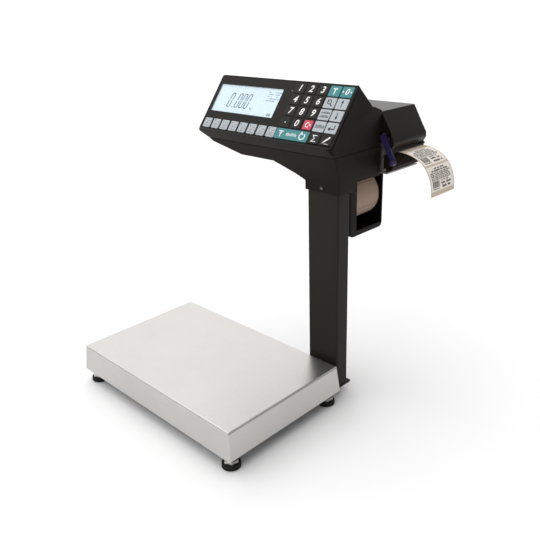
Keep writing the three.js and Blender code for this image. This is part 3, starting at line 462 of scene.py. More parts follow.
def platter_ring(drop, inward):
    """The skirt's outline at a depth below the top, moved inwards."""
    flare = skirt_flare * min(drop / (platter_high.z - platter_low.z), 1.0)
    push = skirt_flare - flare + inward
    return rounded(platter_low.x + push, platter_high.x - push, platter_low.y + push,
                   platter_high.y - push, max(corner_radius - inward * 0.6, 0.3 * mm),
                   platter_high.z - drop)


platter_depth = platter_high.z - platter_low.z
fold = [(fold_radius * (1 - math.sin(a)), fold_radius * (1 - math.cos(a)))
        for a in (math.radians(18 * step) for step in range(6))]
outer = [platter_ring(platter_depth - hem * 0.6, sheet * 0.5 + hem),
         platter_ring(platter_depth, sheet * 0.5),
         platter_ring(platter_depth - hem, 0)]
seam_groove = ((2.9, 0), (2.65, 0.4), (2.05, 0.4), (1.8, 0.02))  # depth below the top, and inwards
outer += [platter_ring(drop * mm, inward * mm) for drop, inward in seam_groove]
outer += [platter_ring(drop, inward) for drop, inward in fold]
inner = [platter_ring(sheet, sheet + fold_radius * 0.4),
         platter_ring(sheet + fold_radius * 0.4, sheet),
         platter_ring(platter_depth - hem, sheet + 0.01 * mm)]
bm = bmesh.new()
rings = [[bm.verts.new(point) for point in ring] for ring in inner + outer]
stitch(bm, rings)
bm.faces.new(rings[-1])
bm.faces.new(rings[0][::-1])
bmesh.ops.recalc_face_normals(bm, faces=bm.faces)
for face in bm.faces:
    drops = [platter_high.z - vertex.co.z for vertex in face.verts]
    if 2 * mm < min(drops) and max(drops) < 2.7 * mm:
        face.material_index = 1
make_piece("platter_sheet", bm, [stainless, seam_shade], "platter", ["platter"], 50)

# ---- Post and its bracket
# The post is a rectangular steel tube, powder coated with a fine black texture. It slips over a
# block on a plate that is screwed under the base, and its foot flares out behind.
post_low, post_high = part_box("post")
tube_wall = 2 * mm
tube_corner = 2.6 * mm
bm = bmesh.new()
tube = []
for inward, z in ((tube_wall, post_low.z), (0.2 * mm, post_low.z), (0, post_low.z + 0.3 * mm),
                  (0, post_high.z - 0.3 * mm), (0.2 * mm, post_high.z), (tube_wall, post_high.z)):
    tube.append([bm.verts.new(point) for point in rounded(
        post_low.x + inward, post_high.x - inward, post_low.y + inward, post_high.y - inward,
        tube_corner - inward * 0.8, z)])
stitch(bm, tube + tube[:1])
bmesh.ops.recalc_face_normals(bm, faces=bm.faces)
powder_coat = finish("powder_coat", paint(36, 32, 27), 0.5, grain=0.0016, patch=0.06, uneven=0.2,
                     streak=0.35,
                     bump=0.5, specular=0.13)
make_piece("post_tube", bm, [powder_coat], "frame", ["post"], 25)
softened("post_foot", "post_bracket", 0.8 * mm, powder_coat)

# ---- Terminal case
# Two mouldings of fine-textured black plastic meet at a seam below the panel. The lower one sweeps
# down to a collar that clamps on the post with a screw, and the upper one frames the keypad.
case_plastic = finish("case_plastic", paint(22, 18, 13), 0.46, grain=0.0006, patch=0.05,
                      specular=0.1,
                      uneven=0.2, bump=0.35)
corner_round = 4 * mm
rim_round = 1.7 * mm
case_edge = 0.7 * mm
upper_low, upper_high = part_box("upper_case")
press_axis = next(joint["axis"] for joint in frame["joints"] if joint["name"] == "enter_key_press")
panel_out = -Vector(press_axis).normalized()
panel_right = Vector((1, 0, 0))
panel_up = panel_out.cross(panel_right)
panel_turn = Matrix((panel_right, panel_up, panel_out)).transposed()


def on_panel(node):
    """A node's lowest and highest corner along the panel: right, up the slope, and out of it."""
    points = [panel_turn.transposed() @ vertex.co for vertex in frame["nodes"][node].data.vertices]
    return [Vector([pick(point[axis] for point in points) for axis in range(3)]) for pick in (min,
                                                                                              max)]


def rear_corner(edge):
    """The edges where the sloping back meets the sides."""
    normals = [face.normal for face in edge.link_faces]
    sideways = any(abs(normal.x) > 0.9 for normal in normals)
    sloping = any(normal.y > 0.5 and normal.z > 0.5 for normal in normals)
    return sideways and sloping and edge.calc_length() > 20 * mm


def rim_edge(edge):
    """The outer edges of the rim round the panel."""
    normals = [face.normal for face in edge.link_faces]
    reach = (edge.verts[0].co + edge.verts[1].co) / 2 - (upper_low + upper_high) / 2
    facing = max(normal.dot(panel_out) for normal in normals)
    outward = min(normal.dot(reach) for normal in normals) > 0
    return facing > 0.99 and outward and edge.calc_length() > 20 * mm


bm = copy_of("upper_case")
round_edges(bm, corner_round, rear_corner, 6)
bm.normal_update()
round_edges(bm, rim_round, rim_edge, 5)
bm.normal_update()
round_edges(bm, case_edge, None, 3, 4)
make_piece("upper_case_moulding", bm, [case_plastic], "frame", ["upper_case"])
softened("lower_case_moulding", "lower_case", case_edge, case_plastic, 4)

lower_low, lower_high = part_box("lower_case")
collar_points = [vertex.co for vertex in frame["nodes"]["lower_case"].data.vertices
                 if vertex.co.z < lower_low.z + 0.1 * mm]
collar_front = min(point.y for point in collar_points)
collar_screw = ((post_low.x + post_high.x) / 2, collar_front, lower_low.z + 6 * mm)
screws("collar_screw", [collar_screw], (0, -1, 0), 2.4 * mm, 1.2 * mm, screw_steel, "frame")
belly = [vertex.co for vertex in frame["nodes"]["lower_case"].data.vertices]
belly_low = min(point.z for point in belly if point.x < lower_low.x + 90 * mm)
belly_points = [point for point in belly if abs(point.z - belly_low) < 0.2 * mm]
belly_left = min(point.x for point in belly_points)
belly_right = max(point.x for point in belly_points)
case_screws = [(x, y, belly_low) for x in (belly_left + 10 * mm, belly_right - 10 * mm)
               for y in (lower_high.y - 70 * mm, lower_high.y - 14 * mm)]
screws("case_screws", case_screws, (0, 0, -1), 3.2 * mm, 1.4 * mm, black_screw, "frame")

# ---- Main board
# A green glass-fibre board behind the keys, with three blocks on its back and rows of small chips
# and solder joints. It only shows through the gaps round the keys and when the case is open.
solder_mask = finish("solder_mask", paint(28, 92, 54), 0.4, grain=0.002, uneven=0.3, bump=0.2,
                     Coat_Weight=0.3)
chip_black = finish("chip_black", paint(26, 26, 28), 0.5, specular=0.4)
softened("logic_board", "main_board", 0.3 * mm, solder_mask)


def panel_block(bm, left, right, bottom, top, low, high):
    """A block with softened upper corners, placed in the panel's own directions."""
    corner = 0.3 * mm
    rings = [rounded(left + inward, right - inward, bottom + inward, top - inward, corner, z, 2)
             for inward, z in ((0, low), (0, high - corner * 0.6), (corner * 0.6, high))]
    closed_rings(bm, [[panel_turn @ Vector(point) for point in ring] for ring in rings])


board_low, board_high = on_panel("main_board")
layout = random.Random(11)
bm = bmesh.new()
for row in range(4):
    for column in range(5):
        width = layout.uniform(4, 9) * mm
        left = board_high.x - (16 + 20 * column) * mm
        bottom = board_low.y + (6 + 19 * row) * mm
        panel_block(bm, left, left + width, bottom, bottom + 5 * mm,
                    board_high.z - 0.02 * mm, board_high.z + 0.5 * mm)
make_piece("board_chips", bm, [chip_black], "frame")

# ---- Display
# A positive liquid crystal panel with tall slanted digits, lit evenly from behind, under a clear
# window that is set flush into the panel.
lcd_ground = finish("lcd_ground", paint(196, 215, 226), 0.35, patch=0.035, uneven=0.14, streak=0.03,
                    spread=0.05,
                    grain=0.0006, bump=0.02, specular=0.3)
lcd_light = lcd_ground.node_tree.nodes["Principled BSDF"]
lcd_light.inputs["Emission Color"].default_value = paint(212, 230, 238)
lcd_light.inputs["Emission Strength"].default_value = 0.28
lcd_ink = finish("lcd_ink", paint(62, 88, 98), 0.4, grain=0.0008, specular=0.2)
lcd_faint = finish("lcd_faint", paint(118, 154, 186), 0.4, grain=0.0008, specular=0.2)
window_glass = finish("window_glass", paint(236, 244, 246), 0.08, grain=0.004, uneven=0.02,
                      streak=0.01,
                      spread=0.05, bump=0.02, Alpha=0.1)
window_low, window_high = on_panel("display_window")
lcd_low, lcd_high = on_panel("lcd_panel")
bm = bmesh.new()
panel_block(bm, window_low.x, window_high.x, window_low.y, window_high.y, window_low.z,
            window_high.z)
make_piece("clear_window", bm, [window_glass], "frame", ["display_window"])


def add_plate(bm, outline, low, high, slot):
    """A thin plate of any outline, given as x, y pairs in the panel's directions."""
    area = sum(a[0] * b[1] - b[0] * a[1] for a, b in zip(outline, outline[1:] + outline[:1]))
    if area < 0:
        outline = outline[::-1]
    rings = [[panel_turn @ Vector((x, y, z)) for x, y in outline] for z in (low, high)]
    closed_rings(bm, rings, slot)


def ribbon(points, width):
    """The outline of a line of one width through the points."""
    sides = ([], [])
    for i, point in enumerate(points):
        before = Vector(points[max(i - 1, 0)])
        after = Vector(points[min(i + 1, len(points) - 1)])
        here = Vector(point)
        a = (here - before).normalized() if i > 0 else (after - here).normalized()
        b = (after - here).normalized() if i < len(points) - 1 else a
        normal = Vector((-(a + b).y, (a + b).x)).normalized()
        reach = width / 2 / max(abs(normal.dot(Vector((-a.y, a.x)))), 0.4)
        for side, sign in zip(sides, (1, -1)):
            side.append(tuple(here + sign * reach * normal))
    return sides[0] + sides[1][::-1]


def arc(x, y, radius, start, end, steps=10):
    angles = [math.radians(start + (end - start) * i / steps) for i in range(steps + 1)]
    return [(x + radius * math.cos(a), y + radius * math.sin(a)) for a in angles]


# Each of the seven segments of a digit runs between two corners, counted in half widths and half
# heights, and ends in a point.
segment_ends = {"a": ((-1, 1), (1, 1)), "b": ((1, 1), (1, 0)), "c": ((1, 0), (1, -1)),
                "d": ((-1, -1), (1, -1)),
                "e": ((-1, 0), (-1, -1)), "f": ((-1, 1), (-1, 0)), "g": ((-1, 0), (1, 0))}
digit_segments = {"0": "abcdef"}
digit_slant = 0.17


def lcd_digit(bm, digit, x, y, half_width, half_height, width, low, high, slot):
    for name in digit_segments[digit]:
        (ax, ay), (bx, by) = (Vector((px * half_width, py * half_height)) for px,
                              py in segment_ends[name])
        along = (Vector((bx, by)) - Vector((ax, ay))).normalized()
        across = Vector((-along.y, along.x)) * width / 2
        start, end = Vector((ax, ay)) + along * width * 0.55, Vector((bx,
                                                                      by)) - along * width * 0.55
        corners = [start - along * width / 2, start - across, end - across, end + along * width / 2,
                   end + across, start + across]
        add_plate(bm, [(x + c.x + digit_slant * c.y, y + c.y) for c in corners], low, high, slot)


bm = bmesh.new()
panel_block(bm, lcd_low.x, lcd_high.x, lcd_low.y, lcd_high.y, lcd_low.z, lcd_high.z - 0.05 * mm)
face = lcd_high.z - 0.05 * mm
ink_low, ink_high = face - 0.05 * mm, face + 0.04 * mm
width = window_high.x - window_low.x
height = window_high.y - window_low.y
digit_height = 0.25 * height
digit_y = window_low.y + 0.47 * height
digit_places = (0.25, 0.375, 0.452, 0.529)  # shares of the window's width
digit_half_width = 2.9 * mm
digit_stroke = 1.9 * mm
for place in digit_places:
    lcd_digit(bm, "0", window_low.x + place * width, digit_y, digit_half_width, digit_height,
              digit_stroke, ink_low, ink_high, 1)
point_x = window_low.x + 0.31 * width
point_y = digit_y - digit_height
add_plate(bm, [(point_x + x * mm, point_y + y * mm) for x,
               y in ((-0.9, -0.9), (0.9, -0.9), (0.9, 0.9), (-0.9, 0.9))],
          ink_low, ink_high, 1)
marks = random.Random(5)
for row in range(5):
    x = window_low.x + (0.795 + 0.01 * (row % 2)) * width
    y = window_low.y + (0.86 - 0.075 * row) * height
    while x < window_low.x + 0.965 * width:
        dash = marks.uniform(1.0, 4.5) * mm
        if marks.random() < 0.82:
            add_plate(bm, [(x, y), (x + dash, y), (x + dash, y + 1.5 * mm), (x, y + 1.5 * mm)],
                      ink_low, ink_high, 2)
        x += dash + 0.9 * mm
cell_x = window_low.x + 0.92 * width
cell_y = window_low.y + 0.1 * height
frame_points = [(cell_x - 3 * mm, cell_y - 1.6 * mm), (cell_x + 3 * mm, cell_y - 1.6 * mm),
                (cell_x + 3 * mm, cell_y + 1.6 * mm), (cell_x - 3 * mm, cell_y + 1.6 * mm),
                (cell_x - 3 * mm, cell_y - 1.2 * mm)]
add_plate(bm, ribbon(frame_points, 0.6 * mm), ink_low, ink_high, 1)
add_plate(bm, [(cell_x + x * mm, cell_y + y * mm) for x,
               y in ((3.3, -0.8), (4.2, -0.8), (4.2, 0.8), (3.3, 0.8))],
          ink_low, ink_high, 1)
for bar in range(3):
    left = cell_x + (-2.3 + 1.7 * bar) * mm
    add_plate(bm, [(left, cell_y - 1 * mm), (left + 1.1 * mm, cell_y - 1 * mm),
                   (left + 1.1 * mm, cell_y + 1 * mm),
                   (left, cell_y + 1 * mm)], ink_low, ink_high, 1)


def glyphs(text, x, y, size, low, high, slot, bm, slant, weight=0.0):
    """Generic figures and unit marks, as thin plates in the panel's directions."""
    curve = bpy.data.curves.new("glyph", "FONT")
    curve.body = text
    curve.size = size
    curve.shear = slant
    curve.offset = weight
    curve.align_x = curve.align_y = "CENTER"
    curve.extrude = (high - low) / 2
    curve.resolution_u = 3
    scratch = bpy.data.objects.new("glyph", curve)
    bpy.context.scene.collection.objects.link(scratch)
    bpy.context.view_layer.update()
    depsgraph = bpy.context.evaluated_depsgraph_get()
    mesh = bpy.data.meshes.new_from_object(scratch.evaluated_get(depsgraph), depsgraph=depsgraph)
    bpy.data.objects.remove(scratch)
    mesh.transform(Matrix.Translation((x, y, (low + high) / 2)))
    mesh.transform(panel_turn.to_4x4())
    known = len(bm.faces)
    bm.from_mesh(mesh)
    bm.faces.ensure_lookup_table()
    for face in bm.faces[known:]:
        face.material_index = slot
    bpy.data.meshes.remove(mesh)


glyphs("kg", window_low.x + 0.615 * width, digit_y - digit_height + 1.2 * mm, 6.4 * mm, ink_low,
       ink_high, 1, bm, 0.25)
make_piece("lcd_module", bm, [lcd_ground, lcd_ink, lcd_faint], "frame", ["lcd_panel"])

# ---- Keypad
# A printed polyester film on a stiff sheet lies flush in the case, with an opening for each key.
# The keys are moulded caps with printed marks, and each one presses by itself on a dome.
panel_film = finish("panel_film", paint(26, 22, 18), 0.42, grain=0.0005, patch=0.05, uneven=0.14,
                    streak=0.1,
                    bump=0.08, specular=0.14)
key_plastics = {
    "grey_key": finish("grey_key", paint(176, 183, 188), 0.45, grain=0.0005, uneven=0.1, bump=0.1,
                       specular=0.35),
    "dark_key": finish("dark_key", paint(29, 27, 24), 0.42, grain=0.0005, uneven=0.15, bump=0.08,
                       specular=0.18),
    "teal_key": finish("teal_key", paint(58, 134, 138), 0.4, grain=0.0005, uneven=0.1, bump=0.08,
                       specular=0.35),
    "red_key": finish("red_key", paint(204, 66, 88), 0.4, grain=0.0005, uneven=0.1, bump=0.08,
                      specular=0.35)}
white_ink = finish("white_ink", paint(240, 240, 238), 0.5, grain=0.0005, uneven=0.04, specular=0.2)
dark_ink = finish("dark_ink", paint(44, 46, 50), 0.5, grain=0.0005, uneven=0.1, specular=0.2)
indicator = finish("indicator_lens", paint(120, 118, 112), 0.2, grain=0.0005, Coat_Weight=0.5)
key_corner = 1.3 * mm
key_crown = 0.3 * mm
bm = copy_of("keypad_plate")
plate_low, plate_high = on_panel("keypad_plate")
one_low = on_panel("digit_key_1")[0]
lens_x, lens_y = one_low.x - 3.2 * mm, one_low.y + 3.5 * mm
lens = [arc(lens_x, lens_y, radius * mm, 0, 330, 11) for radius in (1.1, 0.9, 0.5)]
closed_rings(bm, [[panel_turn @ Vector((x, y, plate_high.z + rise * mm)) for x, y in ring]
                  for ring, rise in zip(lens, (-0.1, 0.2, 0.32))], 1)
make_piece("keypad_film", bm, [panel_film, indicator], "frame", ["keypad_plate"])

# Marks are drawn in millimetres from the key's middle. A line is ("line", points, width), a filled
# shape is ("fill", points), a figure is ("figure", text, x, y, size) and a row of short bars that
# stands for a printed word is ("word", left, right, y, height).
arrow_up = [("line", [(0, -5), (0, 2.5)], 1.2), ("fill", [(-2.2, 1.6), (2.2, 1.6), (0, 5.6)])]
arrow_down = [("line", [(0, 5), (0, -2.5)], 1.2), ("fill", [(-2.2, -1.6), (2.2, -1.6), (0, -5.6)])]
key_marks = {
    "up_key": arrow_up,
    "down_key": arrow_down,
    "enter_key": [("line", [(4.6, 4.4), (4.6, -1.6), (-2.4, -1.6)], 1.5),
                  ("fill", [(-1.4, -4.6), (-1.4, 1.4), (-5.6, -1.6)])],
    "tare_key": [("line", [(-3.4, 3.4), (3.4, 3.4)], 1.7), ("line", [(0, 3.4), (0, -4.6)], 1.7)],
    "zero_key": [("figure", "0", 0, 0, 12), ("fill", [(-7.4, 1.6), (-7.4, -1.6), (-4.6, 0)]),
                 ("fill", [(7.4, -1.6), (7.4, 1.6), (4.6, 0)])],
    "search_key": [("line", arc(-1, 1.4, 3.1, 0, 360, 16), 1.1),
                   ("line", [(1.2, -1.2), (4.8, -5)], 1.5),
                   ("line", [(-5.6, 5), (-1, 0.6)], 0.9)],
    "mode_key": [("word", -6.6, 6.6, 2.9, 3.0), ("word", -7.2, 7.2, -2.6, 3.4)],
    "item_key": [("word", -6.4, 6.4, 0, 5.0)],
    "clear_key": [("line", arc(-0.4, 0, 3.2, 50, 310, 10), 1.2),
                  ("line", [(2.4, -1.6), (5.2, 1.4)], 0.9),
                  ("line", [(2.4, 1.4), (5.2, -1.6)], 0.9)],
    "total_key": [("line", [(3.6, 4.2), (-3.4, 4.2), (0.4, 0), (-3.4, -4.4), (3.8, -4.4)], 1.1)],
    "edit_key": [("line", [(4.8, 4.4), (-3.2, -3.2)], 2.2),
                 ("fill", [(-3.4, -1.6), (-1.6, -3.4), (-5.4, -5.2)]),
                 ("line", [(-1.4, -5.4), (5, -5.4)], 0.6)],
    "print_key": [("line", [(-23.5, 3.6), (-15.5, 3.6)], 1.6),
                  ("line", [(-19.5, 3.6), (-19.5, -4.6)], 1.3),
                  ("fill", [(-22.2, 1.4), (-16.8, 1.4), (-19.5, -2.4)]),
                  ("word", -9.5, 8.5, 0, 4.4),
                  ("line", arc(19, 0, 4.6, 120, 410, 14), 1.5),
                  ("fill", [(14.2, 2.2), (20.2, 2.4), (16.6, 7.0)])],
    "point_key": [("figure", ".", 0, 2.2, 11)]}
for number in range(10):
    key_marks["digit_key_%d" % number] = [("figure", str(number), 0, 0, 13.5)]
for number in range(1, 9):
    key_marks["quick_key_%d" % number] = [
        ("figure", str(number), -4.8, 4.4, 4.6), ("line", [(-5.6, -5.2), (5.6, -5.2)], 0.35),
        ("line", [(0.4, 2.4), (5.2, 2.4)], 0.4), ("line", [(-2.6, -1.2), (5.2, -1.2)], 0.35),
        ("line", arc(0.2 * (number % 3), -2.4, 2.0, 20 * number, 20 * number + 200, 8), 0.35)]


def print_marks(bm, marks, middle, top, slot, seed):
    """Lays one key's printed marks on its cap."""
    low, high = top - 0.06 * mm, top + 0.05 * mm
    words = random.Random(seed)

    def place(points):
        return [(middle.x + x * mm, middle.y + y * mm) for x, y in points]

    for mark in marks:
        if mark[0] == "line":
            add_plate(bm, ribbon(place(mark[1]), mark[2] * mm), low, high, slot)
        elif mark[0] == "fill":
            add_plate(bm, place(mark[1]), low, high, slot)
        elif mark[0] == "figure":
            glyphs(mark[1], middle.x + mark[2] * mm, middle.y + mark[3] * mm, mark[4] * mm, low,
                   high, slot, bm,
                   0.18, 0.25 * mm if mark[4] > 9 else 0)
        else:
            x, right, y, height = mark[1:]
            while x < right:
                letter = words.uniform(1.0, 1.7)
                rise = height * words.choice((0.7, 1, 1))
                for stroke in (0, letter * 0.62):
                    add_plate(bm, place([(x + stroke, y - height / 2),
                                         (x + stroke + 0.5, y - height / 2),
                                         (x + stroke + 0.5 + 0.12 * rise, y - height / 2 + rise),
                                         (x + stroke + 0.12 * rise, y - height / 2 + rise)]), low,
                                         high, slot)
                bar = y - height / 2 + rise * words.choice((0.0, 0.45, 0.8))
                add_plate(bm, place([(x + 0.2, bar), (x + letter * 0.8, bar),
                                     (x + letter * 0.8, bar + 0.5),
                                     (x + 0.2, bar + 0.5)]), low, high, slot)
                x += letter + 0.75


slots = {row["node"]: row["material_slot"] for row in frame["record"]["subparts"]}
for number, (key, marks) in enumerate(sorted(key_marks.items())):
    low, high = on_panel(key)
    flange = 0.5 * mm
    shoulder = plate_low.z - 0.3 * mm
    left, right, bottom, top = low.x + flange, high.x - flange, low.y + flange, high.y - flange
    profile = [(-flange, low.z), (-flange, shoulder), (0, shoulder), (0, high.z - key_crown),
               (0.08 * mm, high.z - 0.12 * mm), (0.26 * mm, high.z)]
    rings = [rounded(left + inward, right - inward, bottom + inward, top - inward, key_corner, z, 4)
             for inward, z in profile]
    bm = bmesh.new()
    closed_rings(bm, [[panel_turn @ Vector(point) for point in ring] for ring in rings])
    slot = slots[key]
    ink = dark_ink if slot == "grey_key" else white_ink
    print_marks(bm, marks, Vector(((left + right) / 2, (bottom + top) / 2)), high.z, 1, number)
    make_piece("cap_" + key, bm, [key_plastics[slot], ink], key, [key])

# ---- Printer chassis and drive
# A galvanised steel frame carries a rubber platen roller on a steel shaft, turned through two gears
# by a stepper motor. A spring-loaded thermal print head is pressed on to the roller from above.
galvanised = finish("galvanised", paint(160, 158, 152), 0.42, brushed, grain=0.003, patch=0.02,
                    uneven=0.35,
                    metallic=0.85)
roller_rubber = finish("roller_rubber", paint(38, 37, 36), 0.7, specular=0.3)
gear_nylon = finish("gear_nylon", paint(214, 208, 192), 0.5, grain=0.0005, specular=0.4)
pinion_brass = finish("pinion_brass", paint(190, 160, 92), 0.3, brushed, grain=0.0004, metallic=1.0)
motor_can = finish("motor_can", paint(150, 148, 144), 0.35, brushed, grain=0.0006, metallic=1.0)
softened("chassis_sheet", "printer_chassis", 0.35 * mm, galvanised)
softened("thermal_head", "print_head", 0.4 * mm, cast_aluminium)
softened("pinion_gear", "motor_pinion", 0.15 * mm, pinion_brass)
softened("motor_body", "stepper_motor", 0.6 * mm, motor_can)


def joint_place(name):
    return Vector(next(joint["pos_m"] for joint in frame["joints"] if joint["name"] == name))


shaft_edge = 3.4 * mm  # the rubber starts beyond this radius
gear_edge = 4.5 * mm  # and the gear beyond this one
platen_axis = joint_place("platen_spin")
strip_low, strip_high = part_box("label_strip")
bm = copy_of("platen_roller")
round_edges(bm, 0.2 * mm)
for face in bm.faces:
    middle = face.calc_center_median()
    reach = math.hypot(middle.x - platen_axis.x, middle.z - platen_axis.z)
    along_labels = strip_low.y - 1 * mm < middle.y < strip_high.y + 1 * mm
    face.material_index = 0 if along_labels and reach > shaft_edge else 1 if reach > gear_edge else 2
make_piece("platen_and_gear", bm, [roller_rubber, gear_nylon, chrome], "platen", ["platen_roller"])

# ---- Hood, lever and label tray
# The hood is a black moulding hinged at its far left edge. In front of it a violet lever lifts the
# print head, and the labels come out over a ribbed black lip below the hood's nose.
hood_plastic = finish("hood_plastic", paint(19, 16, 11), 0.36, grain=0.0006, patch=0.06,
                      specular=0.26, uneven=0.2,
                      bump=0.3)
violet = finish("violet_plastic", paint(40, 31, 74), 0.4, grain=0.0005, uneven=0.15, specular=0.4)
softened("hood_moulding", "printer_hood", 0.9 * mm, hood_plastic, 3)
softened("lever_moulding", "head_lever", 0.7 * mm, violet)
softened("tray_moulding", "label_tray", 0.5 * mm, case_plastic)
tray_low, tray_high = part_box("label_tray")


# A small cheek closes the end of the slot between the tray and the hood's nose.
cheek_outline = [(tray_high.x + x * mm, tray_high.z + z * mm) for x, z in (
    (-10.7, -0.3), (-4, -6.2), (-2.4, -9.4), (-2.4, 3.5), (-3.6, 3.5), (-6.6, 6.5), (-10.7, 6.5))]
bm = bmesh.new()
closed_rings(bm, [[(x, y, z) for x, z in cheek_outline] for y in (strip_high.y + 0.9 * mm,
                                                                  tray_high.y - 2.2 * mm)])
bmesh.ops.recalc_face_normals(bm, faces=bm.faces)
make_piece("slot_cheek", bm, [case_plastic], "frame")


def bar_tree(name):
    """A small bar at each point given, all turned the same way."""
    tree, given = open_tree(name, ("Size", "Vector", (0.001, 0.001, 0.001)),
                            ("Turn", "Rotation", None))
    bar = tree.nodes.new("GeometryNodeMeshCube")
    tree.links.new(given["Size"], bar.inputs["Size"])
    copy_to_points(tree, given, bar.outputs["Mesh"], given["Turn"])
    return tree


raised_bars = bar_tree("raised_bars")


def bars(name, points, size, turn, material, body):
    grown(name, points, raised_bars, {"Size": size, "Turn": turn}, material, body)


lever_axis = joint_place("lever_lift")
lever_points = [vertex.co for vertex in frame["nodes"]["head_lever"].data.vertices]
lever_tip = max(lever_points,
                key=lambda point: math.hypot(point.x - lever_axis.x, point.z - lever_axis.z))
lever_run = Vector((lever_tip.x - lever_axis.x, 0, lever_tip.z - lever_axis.z))
lever_front = min(point.y for point in lever_points
                  if math.hypot(point.x - lever_axis.x, point.z - lever_axis.z) < 5 * mm)
grips = [Vector((lever_axis.x, lever_front,
                 lever_axis.z)) + lever_run * (0.3 + 0.07 * step) for step in range(7)]
lever_turn = (0, -math.atan2(lever_run.z, lever_run.x), 0)
bars("lever_grips", grips, (0.9 * mm, 0.9 * mm, 5.4 * mm), lever_turn, violet, "lever")

rib_count = 8
tray_ribs = [(tray_low.x + 5.4 * mm, strip_low.y + (4 + 7.4 * rib) * mm,
              tray_high.z) for rib in range(rib_count)]
bars("tray_ribs", tray_ribs, (8.6 * mm, 1.1 * mm, 1.2 * mm), (0, 0, 0), case_plastic, "frame")

# ---- Label roll in its box
# A box of bent black sheet hangs under the printer. The roll of labels on a cardboard core turns on
# a black spindle. Its outer labels are cream paper, painted brown as painted shade where the box
# shades the roll, and the dark lines between labels are painted shadow in the gaps.
liner = finish("liner_paper", paint(208, 192, 172), 0.7, grain=0.0008, uneven=0.1, bump=0.1,
               specular=0.25)
label_white = finish("label_paper", paint(243, 235, 226), 0.65, grain=0.0006, uneven=0.06,
                     bump=0.08, specular=0.3)
# Painted shade: the roll's outer labels are cream paper darkened to brown for the box's shadow.
roll_paper_painted_shade = finish("roll_paper_painted_shade", paint(158, 136, 120), 0.6, grain=0.0008, uneven=0.12, bump=0.1,
                    specular=0.2)
label_shadow = finish("label_shadow", paint(70, 56, 46), 0.8, grain=0.0008, specular=0.1)
cardboard = finish("core_board", paint(150, 122, 92), 0.8, grain=0.001, uneven=0.2, specular=0.2)
box_paint = finish("box_paint", paint(20, 17, 13), 0.5, grain=0.0012, specular=0.1, bump=0.3)
softened("roll_box_sheet", "roll_box", 0.5 * mm, box_paint)
softened("spindle_moulding", "roll_spindle", 0.4 * mm, case_plastic)
roll_axis = joint_place("roll_spin")
roll_low, roll_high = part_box("label_roll")
roll_radius = (roll_high.z - roll_low.z) / 2
core_inner = 12.7 * mm
core_outer = 14.6 * mm
label_film = 0.12 * mm
roll_sides = 120


def hoop(radius, y):
    angles = [2 * math.pi * i / roll_sides for i in range(roll_sides)]
    return [(roll_axis.x + radius * math.cos(a), y, roll_axis.z + radius * math.sin(a))
            for a in angles]


def closed_hoops(bm, profile, slot=0):
    """A ring about the roll's axis from a closed profile of (radius, y)."""
    loops = [[bm.verts.new(point) for point in hoop(radius, y)] for radius, y in profile]
    stitch(bm, loops + loops[:1], slot)


windings = 26
wound = roll_radius - label_film - core_outer
edge_profile = [(core_outer + wound * step / windings, 0.22 * mm if step % 2 else 0.05 * mm)
                for step in range(1, windings)]
side_radii = [(core_outer + 0.02 * mm, 0.05 * mm)] + edge_profile + [(roll_radius - label_film,
                                                                      0.05 * mm)]
profile = [(radius, roll_low.y + dip) for radius, dip in side_radii]
profile += [(radius, roll_high.y - dip) for radius, dip in side_radii[::-1]]
bm = bmesh.new()
closed_hoops(bm, profile)
# The outer surface shows only in the thin gaps between labels, where it takes a painted shadow.
for face in bm.faces:
    if all(math.hypot(vertex.co.x - roll_axis.x,
                      vertex.co.z - roll_axis.z) > roll_radius - 2 * label_film
           for vertex in face.verts):
        face.material_index = 3
closed_hoops(bm, [(core_inner, roll_low.y), (core_outer, roll_low.y), (core_outer, roll_high.y),
                  (core_inner, roll_high.y)], 1)
# The six outer labels carry the brown painted shade colour.
label_arc = math.radians(59.1)
gap_arc = math.radians(0.9)
first_label = math.radians(-21)
for number in range(6):
    start = first_label + number * (label_arc + gap_arc)
    rings = []
    for step in range(25):
        angle = start + label_arc * step / 24
        ring = []
        for radius, y in ((roll_radius - label_film * 1.5, roll_low.y + 2 * mm),
                          (roll_radius, roll_low.y + 2 * mm),
                          (roll_radius, roll_high.y - 2 * mm),
                          (roll_radius - label_film * 1.5, roll_high.y - 2 * mm)):
            ring.append((roll_axis.x + radius * math.cos(angle), y,
                         roll_axis.z + radius * math.sin(angle)))
        rings.append(ring)
    closed_rings(bm, rings, 2)
bmesh.ops.recalc_face_normals(bm, faces=bm.faces)
make_piece("wound_labels", bm, [liner, cardboard, roll_paper_painted_shade, label_shadow], "supply_roll",
           ["label_roll"], 40)

# ---- Label strip
# Two printed labels ride on a strip of cream liner that runs from the roll over the platen and
# curls down outside under its own weight. The print is black thermal print of rows and bars.
thermal_ink = finish("thermal_ink", paint(26, 23, 22), 0.6, grain=0.0004, uneven=0.3, specular=0.2)
liner_half = 0.07 * mm
label_top = 0.16 * mm
label_length = 34 * mm
label_gap = 3 * mm
strip_tail = 7 * mm
strip_points = {}
for vertex in frame["nodes"]["label_strip"].data.vertices:
    if vertex.co.y < strip_low.y + 0.1 * mm:
        strip_points[(round(vertex.co.x, 6), round(vertex.co.z, 6))] = True
platen_top = platen_axis.z + 7 * mm
ordered = sorted(strip_points,
                 key=lambda p: p[0] + (max(0.0,
                                           platen_top - p[1]) if p[0] > platen_axis.x else 0.0))
middles = [(Vector(a) + Vector(b)) / 2 for a, b in zip(ordered[::2], ordered[1::2])]


